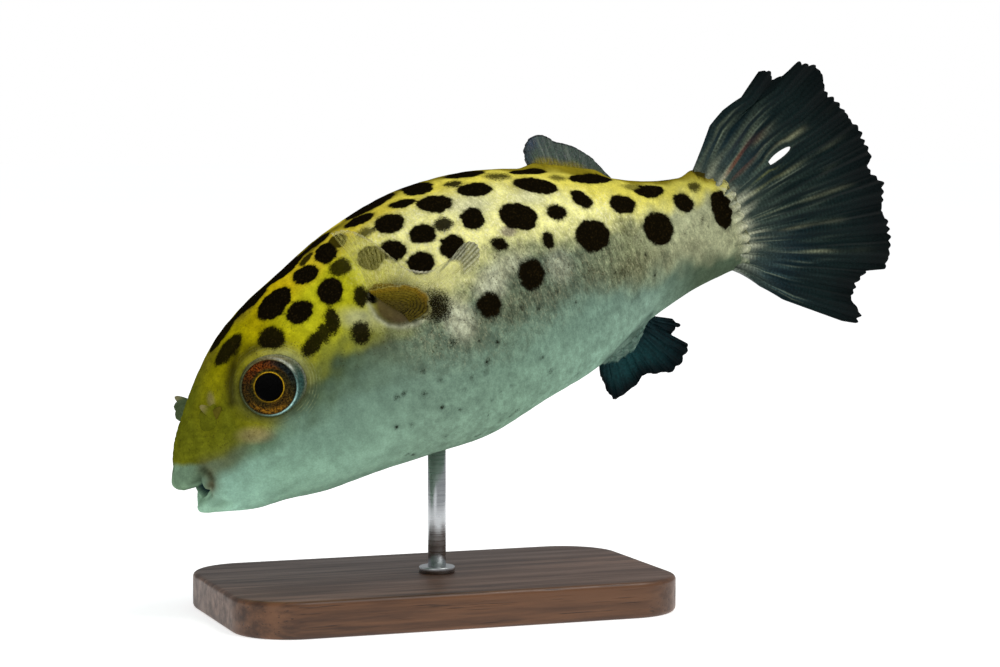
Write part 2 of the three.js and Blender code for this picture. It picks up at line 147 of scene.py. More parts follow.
PECTORAL_FOOT = {
    "top": (40.1, 14.1, 14.9),
    "bottom": (41.9, 16.1, 9.4),
    "shift": (-1.7, -0.1, 1.2),  # how far the foot's upper end wraps forward over the gill hole
}
# Rays of the side fins: [degrees above the tailward direction, length, degrees lifted from the body].
LEFT_PECTORAL_RAYS = [
    [114, 14.4, 15], [105, 14.0, 20], [96, 12.1, 29], [87, 10.3, 40], [74, 9.2, 50],
    [57, 9.7, 54], [41, 10.3, 49], [31, 12.0, 34], [30, 15.0, 23], [24, 16.0, 18],
    [17, 14.4, 18], [8, 10.8, 21], [-8, 7.4, 27],
]
RIGHT_PECTORAL_RAYS = [
    [36, 12.6, 24], [31, 14.6, 27], [26, 15.6, 30], [20, 15.8, 32], [14, 16.0, 33],
    [8, 16.2, 34], [2, 16.2, 34], [-4, 16.0, 33], [-10, 15.4, 32], [-16, 14.4, 30],
    [-23, 12.8, 28], [-30, 10.8, 27], [-38, 8.0, 27],
]
PECTORAL_BOW = 1.4
# How finely the fins are built: points across the rays, and along them.
FIN_GRIDS = {"caudal": (420, 84), "dorsal": (170, 56), "anal": (220, 60), "pectoral": (260, 110)}
JOINT_SPACING = 0.72  # of the jointed rays
# The golden folds on the foot of a side fin lie in ovals round a point on the body's side.
PECTORAL_SHELL = {"x": 40.0, "z": 12.8, "tilt": -22, "squash": 0.62, "reach": 5.6, "fold": 0.5}

# Rays of the fins on the midline: [foot x, foot z, tip x, tip z].
DORSAL_RAYS = [
    [75.3, 20.9, 75.1, 23.2],
    [75.9, 20.5, 75.5, 24.9],
    [76.6, 20.2, 76.3, 25.8],
    [77.4, 19.8, 77.3, 26.4],
    [78.3, 19.4, 78.7, 26.4],
    [79.3, 18.8, 79.9, 25.7],
    [80.3, 18.3, 81.0, 24.3],
    [81.4, 17.7, 82.3, 23.4],
    [82.6, 17.0, 83.7, 22.3],
    [83.8, 16.4, 84.9, 20.9],
    [85.0, 15.7, 86.1, 19.3],
    [86.1, 15.1, 87.1, 17.2],
    [87.0, 14.5, 88.3, 14.6],
]
ANAL_RAYS = [
    [75.2, -11.6, 74.3, -15.6],
    [75.7, -11.5, 74.4, -18.6],
    [76.5, -11.3, 75.1, -20.6],
    [77.6, -11.0, 77.1, -20.4],
    [78.7, -10.7, 79.7, -19.8],
    [79.8, -10.4, 81.2, -18.8],
    [80.8, -10.2, 83.2, -19.3],
    [81.8, -10.0, 86.0, -20.2],
    [82.6, -9.8, 88.2, -19.6],
    [83.3, -9.7, 90.0, -18.2],
    [83.9, -9.6, 90.6, -17.2],
    [84.3, -9.5, 88.6, -15.4],
    [84.6, -9.4, 89.6, -13.7],
    [84.8, -9.3, 90.7, -13.6],
    [85.0, -9.3, 89.6, -12.0],
]

# Where the anal fin's fleshy foot ends and its dark blade starts: [x, z].
ANAL_HEM = [
    (73.6, -13.2), (74.8, -13.9), (77.6, -14.5), (81.0, -14.0), (83.4, -12.2), (85.2, -10.4),
    (87.0, -9.4),
]
# How far the flesh of the body swells under it: [x, swell].
ANAL_FOOT = [(73.2, 0), (74.8, 0.7), (77.6, 1.5), (81.0, 2.2), (83.4, 1.0), (85.4, 0)]

# The tail fin: rays leave a hinge at an angle from the body's axis. Margin: [degrees, reach].
# Edges: [degrees, share of the reach].
CAUDAL = {
    "hinge": (92.0, -1.0),
    "root_reach": 11.0,
    "margin": [
        [-41.2, 37.0], [-40.4, 39.6], [-38.2, 40.1], [-35.2, 37.3], [-29.5, 38.0], [-27.0, 39.2],
        [-26.2, 43.3], [-21.3, 43.6], [-16.6, 43.7], [-13.2, 42.4], [-6.2, 43.5], [-0.7, 41.5],
        [0.6, 43.1], [5.4, 43.2], [10.5, 42.9], [15.9, 42.3], [21.2, 41.8], [23.6, 43.5],
        [26.3, 43.4], [30.5, 41.4], [31.6, 38.0], [33.7, 36.2], [35.6, 37.2], [38.3, 36.2],
    ],
    "lower_edge": [[-31, 0], [-34.5, 0.17], [-39, 0.33], [-41.3, 0.52], [-41.2, 1]],
    "upper_edge": [[42, 0], [45.5, 0.12], [46, 0.51], [43.5, 0.64], [39.4, 0.78], [38.3, 1]],
    "rays": 11,
    "fold": 0.7,
    "split": ((116.2, 5.5), (121.4, 7.1)),
    "split_half_width": 0.6,
    # Where single pale rays show: [share across the fin, share of the reach].
    "pale_rays": ((0.36, 0.5), (0.47, 0.55), (0.55, 0.5), (0.72, 0.6), (0.62, 0.45), (0.25, 0.4)),
}

STAND = {
    "length": 76.0,
    "depth": 44.0,
    "height": 6.0,
    "corner": 10.0,
    "bevel": 0.8,
    "top_insets": (2.2, 5.0),  # rings on the flat top, to keep its faces small
    "rod_radius": 1.5,
    "rod_x": 0.6,
    "rod_into_fish": 0.6,
    "collar_radius": 3.0,
    "collar_height": 1.1,
    "collar_edge": 0.25,
    "sides": 64,
}

# The photograph's view: from the fish's left, a little ahead and above. Degrees, and metres in
# the row's frame.
CAMERA = {
    "azimuth": -20,
    "elevation": 4,
    "distance": 0.466046,
    "target": (0.011829, 0.0, 0.045735),
    "lens": 100,
}
# Soft round lights: name, place in metres, width, watts, colour.
LIGHTS = [
    ("key", (0.3, -0.3, 0.75), 0.5, 3.4, (1.0, 0.98, 0.94)),
    ("front", (-0.6, -0.7, 0.3), 0.6, 0.6, (1, 1, 1)),
]
LIT_PLACE = (0.02, 0, 0.05)
FLOOR_HALF_SIZE = 8.0


# ---- colours ---------------------------------------------------------------------------------

def srgb(red, green, blue):
    """A colour of 0 to 255 per channel as linear light."""
    share = np.array([red, green, blue], float) / 255
    return np.where(share <= 0.04045, share / 12.92, ((share + 0.055) / 1.055) ** 2.4)


OLIVE = srgb(98, 101, 20)
OCHRE = srgb(124, 112, 26)
LEAF = srgb(158, 148, 6)
LIME = srgb(184, 182, 28)
GOLD = srgb(212, 186, 16)
STRAW = srgb(220, 212, 96)
CREAM_AND_HIGHLIGHT = srgb(236, 232, 150)
PALE_FLECK_SHEEN = srgb(244, 240, 192)
ASH = srgb(152, 156, 122)
DRAB = srgb(106, 104, 76)
SLATE = srgb(93, 108, 91)
MIST = srgb(136, 174, 154)
LIP = srgb(108, 134, 108)
BROWN = srgb(56, 44, 22)
INK = srgb(13, 10, 4)
ROSE = srgb(142, 128, 92)
WHITE_PATCH = srgb(186, 188, 160)
UMBER = srgb(52, 42, 20)
PLUM = srgb(84, 66, 48)


# ---- arithmetic ------------------------------------------------------------------------------

def smooth(low, high, value):
    """0 below low, 1 above high, with an S-curve between."""
    share = np.clip((np.asarray(value, float) - low) / (high - low), 0, 1)
    return share * share * (3 - 2 * share)


def fade(low, high, value):
    """1 below low, 0 above high."""
    return 1 - smooth(low, high, value)


def between(low, rise, fall, high, value):
    """0 below low, 1 from rise to fall, 0 above high."""
    return smooth(low, rise, value) * fade(fall, high, value)


def bell(distance, width):
    """1 at no distance, falling away on either side over about the given width."""
    return np.exp(-(np.asarray(distance) / width) ** 2)


def blend(a, b, share):
    return a + (b - a) * share


def unit(vectors):
    return vectors / np.maximum(np.linalg.norm(vectors, axis=-1, keepdims=True), 1e-12)


def through_rows(knots, rows):
    """A smooth curve through rows of numbers at the given knots."""
    knots = np.asarray(knots, float)
    rows = np.asarray(rows, float)
    step = np.diff(knots)[:, None]
    slope = np.diff(rows, axis=0) / step
    inner = (slope[:-1] * step[1:] + slope[1:] * step[:-1]) / (step[:-1] + step[1:])
    tangent = np.vstack([slope[:1], inner, slope[-1:]])

    def curve(u):
        u = np.asarray(u, float)
        i = np.clip(np.searchsorted(knots, u, side="right") - 1, 0, len(knots) - 2)
        span = (knots[i + 1] - knots[i])[..., None]
        t = (u[..., None] - knots[i][..., None]) / span
        return (
            (2 * t**3 - 3 * t**2 + 1) * rows[i]
            + (t**3 - 2 * t**2 + t) * span * tangent[i]
            + (3 * t**2 - 2 * t**3) * rows[i + 1]
            + (t**3 - t**2) * span * tangent[i + 1]
        )

    return curve


def through_even_rows(rows):
    return through_rows(np.linspace(0, 1, len(rows)), rows)


def tint_along(stops, x):
    """A colour that changes along x, from [x, colour] stops."""
    places = [place for place, _ in stops]
    channels = np.array([colour for _, colour in stops])
    return np.stack([np.interp(x, places, channels[:, k]) for k in range(3)], -1)


def paint(base, colour, share):
    """Lays a colour over others by a share at each point."""
    return blend(base, colour, np.asarray(share)[..., None])


def coats(base, *layers):
    """Lays several colours over each other in turn, each with its share at each point."""
    for colour, share in layers:
        base = paint(base, colour, share)
    return base


def plain(colour, like):
    """One colour at every point of a grid."""
    return np.broadcast_to(colour, like.shape + (3,))


def facing(angle, degrees):
    """1 where an angle points the given way, 0 where it points the opposite way."""
    return 0.5 + 0.5 * np.cos(angle - math.radians(degrees))


def ripple(points, size, seed, waves=9):
    """A smooth irregular relief of about -1 to 1 with features of a given size."""
    random = np.random.default_rng(seed)
    total = np.zeros(points.shape[:-1])
    for _ in range(waves):
        direction = unit(random.normal(size=3))
        length = size * random.uniform(0.7, 1.6)
        total += np.sin(points @ direction * (2 * math.pi / length) + random.uniform(0, 6.283))
    return total / math.sqrt(waves)


def ridges(phase, sharpness):
    """Ridges of height 1 at whole numbers of the phase."""
    return np.abs(np.cos(math.pi * phase)) ** sharpness


def to_row(points):
    """From the fish's own frame in mm to the row's frame in metres."""
    x, y, z = np.moveaxis(np.asarray(points, float), -1, 0)
    c, s = math.cos(PITCH), math.sin(PITCH)
    return MM * np.stack([SNOUT[0] + x * c - z * s, y + SNOUT[1], SNOUT[2] + x * s + z * c], -1)


def on_side(side, point):
    x, y, z = point
    return np.array([x, side * y, z])


# ---- meshes ----------------------------------------------------------------------------------

# The skin's UV square: the body's strip, the hubs of its two ends, and a box for each flap.
UV_EDGE = 0.01
UV_BODY_WIDTH = 0.91
UV_HUB = 0.003
UV_FLAP_SIZE = np.array([0.06, 0.2])
UV_FLAP_CORNER = {LEFT: (0.935, 0.1), RIGHT: (0.935, 0.5)}


def add_object(name, data):
    item = bpy.data.objects.new(name, data)
    bpy.context.scene.collection.objects.link(item)
    return item


def mesh_piece(name, points, faces, material, slot, nodes=(), corner_uv=None, **attributes):
    """A smooth mesh piece on the body, in metres, with attributes at its points."""
    mesh = bpy.data.meshes.new(name)
    mesh.from_pydata(points.tolist(), [], faces)
    mesh.polygons.foreach_set("use_smooth", [True] * len(mesh.polygons))
    for key, values in attributes.items():
        if values.ndim == 1:
            layer = mesh.attributes.new(key, "FLOAT", "POINT")
            layer.data.foreach_set("value", values.astype(np.float32))
        elif key.endswith("_mm"):
            layer = mesh.attributes.new(key, "FLOAT_VECTOR", "POINT")
            layer.data.foreach_set("vector", values.astype(np.float32).ravel())
        else:
            rgba = np.concatenate([values, np.ones((len(values), 1))], 1)
            layer = mesh.color_attributes.new(key, "FLOAT_COLOR", "POINT")
            layer.data.foreach_set("color", rgba.astype(np.float32).ravel())
    if corner_uv is not None:
        layer = mesh.uv_layers.new(name="OFBake")
        layer.data.foreach_set("uv", np.asarray(corner_uv, np.float32).ravel())
    mesh.update()
    piece = add_object(name, mesh)
    mesh.materials.append(material)
    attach(piece, "root")
    if nodes:
        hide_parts(*nodes)
    return piece


def grid_quads(rows, columns, first=0, closed=False):
    """Quads between neighbouring rows of a grid of points, row by row."""
    across = np.arange(columns if closed else columns - 1)
    start = first + np.arange(rows - 1)[:, None] * columns
    a = start + across
    b = start + (across + 1) % columns
    return np.stack([a, b, b + columns, a + columns], -1).reshape(-1, 4)


def lathe(profile, centre, axis, up, sides):
    """A surface turned about an axis from (radius, height) points: rings of points, and their turns."""
    side = np.cross(axis, up)
    turn = np.arange(sides) / sides * 2 * math.pi
    ring = np.cos(turn)[:, None] * up + np.sin(turn)[:, None] * side
    profile = np.asarray(profile, float)
    points = centre + profile[:, 1, None, None] * axis + profile[:, 0, None, None] * ring
    return points, turn


def with_thickness(middle, thickness):
    """The two faces of a sheet about its middle surface: rows run across the rays."""
    across = np.gradient(middle, axis=0)
    along = np.gradient(middle, axis=1)
    normal = unit(np.cross(across, along))
    half = normal * thickness[..., None] / 2
    return middle + half, middle - half


def fin_piece(name, middle, thickness, material, slot, nodes, slit=None, **attributes):
    """A closed sheet: two faces and a rim. slit is (row, from column, to column) of an opening."""
    rows, columns = thickness.shape
    front, back = with_thickness(middle, thickness)
    count = rows * columns
    index = np.arange(count).reshape(rows, columns)
    u, v = np.meshgrid(np.linspace(0, 1, rows), np.linspace(0, 1, columns), indexing="ij")
    front_uv = np.stack([UV_EDGE + (0.5 - 2 * UV_EDGE) * u, UV_EDGE + (1 - 2 * UV_EDGE) * v], -1)
    front_uv = front_uv.reshape(-1, 2)
    back_uv = front_uv + [0.5, 0]
    a = index[:-1, :-1]
    b = index[1:, :-1]
    keep = np.ones(a.shape, bool)
    if slit:
        row, start, stop = slit
        keep[row, start:stop] = False
    quads = np.stack([a, b, b + 1, a + 1], -1)[keep]
    walls = [
        (index[:-1, 0], index[1:, 0], 1),
        (index[:-1, -1], index[1:, -1], -1),
        (index[0, :-1], index[0, 1:], -1),
        (index[-1, :-1], index[-1, 1:], 1),
    ]
    if slit:
        walls += [
            (index[row, start:stop], index[row, start + 1:stop + 1], 1),
            (index[row + 1, start:stop], index[row + 1, start + 1:stop + 1], -1),
            (index[row:row + 2, start][:1], index[row:row + 2, start][1:], -1),
            (index[row:row + 2, stop][:1], index[row:row + 2, stop][1:], 1),
        ]
    faces = [quads, quads[:, ::-1] + count]
    uvs = [front_uv[quads], back_uv[quads[:, ::-1]]]
    for p, q, way in walls:
        wall = np.stack([p, p + count, q + count, q][::way], -1)
        faces.append(wall)
        uvs.append(front_uv[wall % count])
    points = to_row(np.concatenate([front.reshape(-1, 3), back.reshape(-1, 3)]))
    twice = {key: np.concatenate([flat(value)] * 2) for key, value in attributes.items()}
    corner_uv = np.concatenate([uv.reshape(-1, 2) for uv in uvs])
    faces = np.concatenate(faces).tolist()
    return mesh_piece(name, points, faces, material, slot, nodes, corner_uv, **twice)


def flat(values):
    """Grid values as one list of values, a number or a triple each."""
    return values.reshape(-1, 3) if values.ndim == 3 else values.reshape(-1)


# ---- materials -------------------------------------------------------------------------------

class Shading:
    """The nodes of a material, or of the world, built up step by step."""

    def __init__(self, name, owner=None):
        self.owner = owner or bpy.data.materials.new(name)
        self.owner.use_nodes = True
        self.tree = self.owner.node_tree
        self.tree.nodes.clear()
        self.output = self.node("OutputWorld" if owner else "OutputMaterial")

    def put(self, socket, value):
        if isinstance(value, bpy.types.NodeSocket):
            self.tree.links.new(value, socket)
        elif np.ndim(value) == 0 or len(value) == len(socket.default_value):
            socket.default_value = value
        else:
            socket.default_value = (*value, 1.0)

    def node(self, kind, inputs=None, **settings):
        node = self.tree.nodes.new("ShaderNode" + kind)
        for key, value in settings.items():
            setattr(node, key, value)
        for key, value in (inputs or {}).items():
            self.put(node.inputs[key], value)
        return node

    def attribute(self, name, output="Fac"):
        return self.node("Attribute", attribute_name=name).outputs[output]

    def math(self, operation, a, b=0.0):
        return self.node("Math", {0: a, 1: b}, operation=operation).outputs[0]

    def times(self, a, b):
        return self.math("MULTIPLY", a, b)

    def plus(self, a, b):
        return self.math("ADD", a, b)

    def ramp(self, value, low, high, at_low=0.0, at_high=1.0):
        """An S-curve from at_low to at_high as the value goes from low to high."""
        inputs = {"Value": value, "From Min": low, "From Max": high,
                  "To Min": at_low, "To Max": at_high}
        node = self.node("MapRange", inputs, interpolation_type="SMOOTHSTEP", clamp=True)
        return node.outputs[0]

    def noise(self, place, scale, detail=3.0, roughness=0.55, stretch=None):
        if stretch is not None:
            place = self.node("VectorMath", {0: place, 1: stretch}, operation="MULTIPLY").outputs[0]
        inputs = {"Vector": place, "Scale": scale, "Detail": detail, "Roughness": roughness}
        return self.node("TexNoise", inputs).outputs["Fac"]

    def cells(self, place, scale):
        """Distance from the nearest of many scattered dots."""
        return self.node("TexVoronoi", {"Vector": place, "Scale": scale}).outputs["Distance"]

    def mix(self, share, a, b):
        node = self.node("Mix", data_type="RGBA", clamp_factor=True)
        self.put(node.inputs[0], share)
        self.put(node.inputs[6], a)
        self.put(node.inputs[7], b)
        return node.outputs[2]

    def brighten(self, colour, gain):
        """The colour times a number at each point."""
        return self.node("VectorMath", {0: colour, "Scale": gain}, operation="SCALE").outputs[0]

    def bump(self, height, distance, strength=1.0, under=None):
        inputs = {"Height": height, "Distance": distance, "Strength": strength}
        if under is not None:
            inputs["Normal"] = under
        return self.node("Bump", inputs).outputs["Normal"]

    def principled(self, **inputs):
        names = {key.replace("_", " ").title().replace("Ior", "IOR"): value
                 for key, value in inputs.items()}
        return self.node("BsdfPrincipled", names).outputs[0]

    def finish(self, surface):
        self.tree.links.new(surface, self.output.inputs["Surface"])
        return self.owner


def skin_material():
    """Mottled skin: painted zones, pale flecks that are partly painted sheen, dark stipple, flank
    striations and inky spots.
    """
    s = Shading("puffer_skin")
    place = s.attribute("body_mm", "Vector")
    colour = s.attribute("tint", "Color")
    broad = s.noise(place, 0.32, detail=3)
    colour = s.brighten(colour, s.ramp(broad, 0.3, 0.7, 0.86, 1.12))
    mottle = s.noise(place, 0.8, detail=4, roughness=0.58, stretch=(1.2, 0.85, 0.85))
    strong = s.attribute("mottle")
    colour = s.brighten(colour, s.plus(s.times(s.ramp(mottle, 0.3, 0.7, -0.45, 0.55), strong), 1.0))
    # Pale flecks: a fine pale speckle, which on the upper back also stands in for painted sheen.
    fleck = s.noise(place, 1.9, detail=5, roughness=0.7, stretch=(1.5, 0.75, 0.75))
    fleck = s.ramp(fleck, 0.47, 0.68)
    colour = s.mix(s.times(fleck, s.attribute("cream")), colour, PALE_FLECK_SHEEN)
    grain = s.noise(place, 3.4, detail=3, roughness=0.65)
    rough = s.times(s.ramp(grain, 0.3, 0.72, -0.24, 0.2), s.plus(s.times(strong, 0.75), 0.35))
    colour = s.brighten(colour, s.plus(rough, 1.0))
    streak = s.noise(place, 1.0, detail=3, stretch=(1.9, 0.4, 0.34))
    lined = s.times(s.ramp(streak, 0.42, 0.66), s.attribute("streaks"))
    colour = s.mix(lined, colour, s.brighten(colour, 0.5))
    bright_streak = s.ramp(s.noise(place, 1.0, detail=3, stretch=(2.9, 0.5, 0.42)), 0.54, 0.7)
    colour = s.mix(s.times(bright_streak, s.attribute("streaks")), colour,
                   s.brighten(colour, 1.7))
    dots = s.ramp(s.cells(place, 2.3), 0.16, 0.36, 1.0, 0.0)
    crowd = s.ramp(s.noise(place, 0.75, detail=3), 0.42, 0.62)
    stipple = s.times(s.times(dots, crowd), s.attribute("stipple"))
    colour = s.mix(stipple, colour, UMBER)
    ring_wave = s.math("SINE", s.times(s.attribute("eye_ring"), 2 * math.pi / LID_RING_SPACING))
    ring_line = s.times(s.ramp(ring_wave, 0.2, 1.0), s.attribute("eye_lines"))
    broken = s.ramp(s.noise(place, 1.1, detail=3), 0.42, 0.62)
    colour = s.mix(s.times(s.times(ring_line, broken), 0.3), colour, srgb(170, 176, 124))
    wobble = s.plus(s.noise(place, 0.85, detail=2), -0.5)
    fray = s.plus(s.noise(place, 4.0, detail=2, roughness=0.7), -0.5)
    fuzz = s.attribute("spot_fuzz")
    edge = s.plus(s.attribute("spot_edge"), s.times(wobble, 1.1))
    halo = s.times(s.ramp(edge, -0.1, 0.75, 0.6, 0.0), s.attribute("spot_ink"))
    colour = s.mix(halo, colour, s.brighten(colour, 0.45))
    edge = s.plus(edge, s.times(s.times(fray, fuzz), 3.4))
    edge = s.math("DIVIDE", edge, s.plus(s.times(fuzz, 0.5), 0.15))
    inside = s.times(s.ramp(edge, -1.0, 1.0, 1.0, 0.0), s.attribute("spot_ink"))
    ink = s.mix(s.ramp(grain, 0.5, 0.75), INK, BROWN * 0.55)
    colour = s.mix(inside, colour, ink)
    relief = s.bump(s.noise(place, 2.0, detail=4, roughness=0.6), 0.00006, 0.5)
    relief = s.bump(s.cells(place, 1.7), 0.00004, 0.35, relief)
    relief = s.bump(s.times(ring_wave, s.attribute("eye_lines")), 0.00004, 0.5, relief)
    relief = s.bump(lined, 0.00003, 0.5, relief)
    gloss = s.ramp(grain, 0.3, 0.7, 0.32, 0.48)
    surface = s.principled(base_color=colour, roughness=gloss, normal=relief,
                           specular_ior_level=0.0)
    return s.finish(surface)


def fin_material(name, roughness, clear=False, specular=0.05):
    """Rays and web of a fin: painted tints, jointed rays, fine flecks, and holes for light."""
    s = Shading(name)
    place = s.attribute("body_mm", "Vector")
    colour = s.attribute("tint", "Color")
    grain = s.noise(place, 3.0, detail=4, roughness=0.65)
    colour = s.brighten(colour, s.ramp(grain, 0.28, 0.72, 0.62, 1.4))
    joints = s.math("SINE", s.times(s.attribute("reach"), 2 * math.pi / JOINT_SPACING))
    jointed = s.times(s.ramp(joints, -0.2, 0.8), s.attribute("ray"))
    colour = s.mix(s.times(jointed, 0.45), colour, s.brighten(colour, 2.0))
    relief = s.bump(jointed, 0.00006, 0.7)
    relief = s.bump(grain, 0.00004, 0.5, relief)
    gloss = s.ramp(grain, 0.3, 0.7, roughness - 0.06, roughness + 0.1)
    surface = s.principled(base_color=colour, roughness=gloss, normal=relief,
                           specular_ior_level=specular)
    if clear:
        glow = s.node("BsdfTranslucent", {"Color": colour, "Normal": relief}).outputs[0]
        lit = s.node("MixShader", {0: 0.35, 1: surface, 2: glow}).outputs[0]
        empty = s.node("BsdfTransparent").outputs[0]
        cover = s.times(s.attribute("cover"), s.ramp(grain, 0.25, 0.75, 0.8, 1.15))
        surface = s.node("MixShader", {0: cover, 1: empty, 2: lit}).outputs[0]
    return s.finish(surface)


def eye_material():
    """Iris, pupil and white of the eye: mottled rust, gold and green, with dark specks."""
    s = Shading("puffer_eye")
    place = s.attribute("body_mm", "Vector")
    colour = s.attribute("tint", "Color")
    iris = s.attribute("iris")
    cloud = s.noise(place, 1.5, detail=4, roughness=0.65)
    colour = s.mix(s.times(s.ramp(cloud, 0.5, 0.66), s.times(iris, 0.8)), colour, srgb(20, 18, 6))
    gold = s.noise(place, 2.4, detail=4, roughness=0.7)
    colour = s.mix(s.times(s.ramp(gold, 0.55, 0.68), s.times(iris, 0.7)), colour,
                   s.brighten(colour, 2.6))
    fibre = s.noise(place, 3.4, detail=3, roughness=0.7)
    change = s.times(s.ramp(fibre, 0.34, 0.66, -0.85, 1.2), s.plus(s.times(iris, 0.6), 0.4))
    colour = s.brighten(colour, s.plus(change, 1.0))
    specks = s.ramp(s.cells(place, 2.6), 0.2, 0.4, 1.0, 0.0)
    colour = s.mix(s.times(specks, s.attribute("specks")), colour, INK)
    relief = s.bump(fibre, 0.00008, 0.6)
    surface = s.principled(base_color=colour, roughness=0.45, normal=relief,
                           specular_ior_level=0.03)
    return s.finish(surface)


def cornea_material():
    """Clear window over the iris: no colour, and gloss only where it is seen at a slant."""
    s = Shading("puffer_cornea")
    place = s.attribute("body_mm", "Vector")
    relief = s.bump(s.noise(place, 0.5, detail=1), 0.00001, 0.1)
    gloss = s.node("BsdfGlossy", {"Color": (1, 1, 1), "Roughness": 0.16, "Normal": relief})
    empty = s.node("BsdfTransparent")
    share = s.node("Fresnel", {"IOR": 1.09, "Normal": relief})
    rim_share = s.ramp(share.outputs[0], 0.006, 0.02, 0.0, 0.05)
    surface = s.node("MixShader", {0: rim_share, 1: empty.outputs[0], 2: gloss.outputs[0]})
    return s.finish(surface.outputs[0])


def wood_material():
    """Oiled walnut with its grain along the base."""
    s = Shading("stand_walnut")
    place = s.node("TexCoord").outputs["Object"]
    warp = s.noise(place, 60, detail=3, stretch=(0.25, 1, 1))
    rings = s.noise(place, 420, detail=5, roughness=0.6, stretch=(0.06, 1, 1))
    pores = s.noise(place, 2600, detail=2, roughness=0.6, stretch=(0.035, 1, 1))
    colour = s.mix(s.ramp(rings, 0.3, 0.7), srgb(52, 31, 19), srgb(112, 74, 46))
    colour = s.mix(s.times(s.ramp(warp, 0.35, 0.7), 0.6), colour, srgb(84, 54, 34))
    colour = s.mix(s.ramp(pores, 0.6, 0.72, 0.0, 0.7), colour, srgb(30, 18, 11))
    relief = s.bump(s.ramp(pores, 0.55, 0.75, 1.0, 0.0), 0.00006, 0.5)
    gloss = s.ramp(rings, 0.3, 0.7, 0.5, 0.36)
    surface = s.principled(base_color=colour, roughness=gloss, normal=relief,
                           specular_ior_level=0.4)
    return s.finish(surface)


def steel_material():
    """Steel brushed round the rod."""
    s = Shading("stand_brushed_steel")
    place = s.node("TexCoord").outputs["Object"]
    brush = s.noise(place, 900, detail=3, roughness=0.7, stretch=(0.08, 0.08, 3))
    colour = s.mix(s.ramp(brush, 0.3, 0.7), srgb(180, 183, 186), srgb(204, 206, 208))
    relief = s.bump(brush, 0.00001, 0.15)
    gloss = s.ramp(brush, 0.3, 0.7, 0.24, 0.4)
    surface = s.principled(base_color=colour, metallic=1.0, roughness=gloss, normal=relief)
    return s.finish(surface)


def floor_material():
    """Pale paper, lit a little from within so that it stays white to the horizon."""
    s = Shading("studio_floor")
    place = s.node("TexCoord").outputs["Object"]
    shade = s.noise(place, 2.0, detail=2)
    colour = s.mix(shade, srgb(234, 235, 236), srgb(239, 239, 238))
    surface = s.principled(base_color=colour, roughness=0.9, specular_ior_level=0.0,
                           emission_color=(1, 1, 1, 1), emission_strength=0.66)
    return s.finish(surface)


# ---- skin: shape -----------------------------------------------------------------------------

def section_knots():
    """Where the body's cross-sections lie along its curve."""
    rows = np.array(BODY_SECTIONS)
    middle_x = (rows[:, 0] + rows[:, 2]) / 2
    return np.concatenate([[0], np.cumsum(np.hypot(np.diff(middle_x), np.diff(rows[:, 4])))])


BODY_KNOTS = section_knots()
body_section = through_rows(BODY_KNOTS, BODY_SECTIONS)


def body_surface(u, turn):
    """Points of the smooth body: u along it, turn from the back's ridge over the left side."""
    top_x, top_z, bottom_x, bottom_z, half, widest, above, below = np.moveaxis(body_section(u), -1, 0)
    middle_x = blend(top_x, bottom_x, widest)
    middle_z = blend(top_z, bottom_z, widest)
    up = np.cos(turn)
    power = 2 / np.where(up >= 0, above, below)
    rise = np.abs(up) ** power
    out = np.sign(np.sin(turn)) * np.abs(np.sin(turn)) ** power
    end_x = np.where(up >= 0, top_x, bottom_x)
    end_z = np.where(up >= 0, top_z, bottom_z)
    x = middle_x + (end_x - middle_x) * rise
    z = middle_z + (end_z - middle_z) * rise
    return np.stack([x, -half * out, z], -1)


def ring_places():
    """Stations along the body, close together at the lips and over the head."""
    probe = np.linspace(0.04, BODY_KNOTS[-1], 4000)
    pitch = RING_PITCH["lips"] + (RING_PITCH["head"] - RING_PITCH["lips"]) * smooth(6, 12, probe)
    pitch = pitch + (RING_PITCH["trunk"] - RING_PITCH["head"]) * smooth(34, 66, probe)
    count = np.concatenate([[0], np.cumsum(np.diff(probe) / pitch[1:])])
    return np.interp(np.linspace(0, count[-1], SKIN_RINGS), count, probe)


def side_turns():
    """Turns around the body, from the belly over the right side, back and left side."""
    even = -math.pi + np.arange(SKIN_SIDES) / SKIN_SIDES * 2 * math.pi
    return even + SIDE_CROWDING / 2 * np.sin(2 * even)


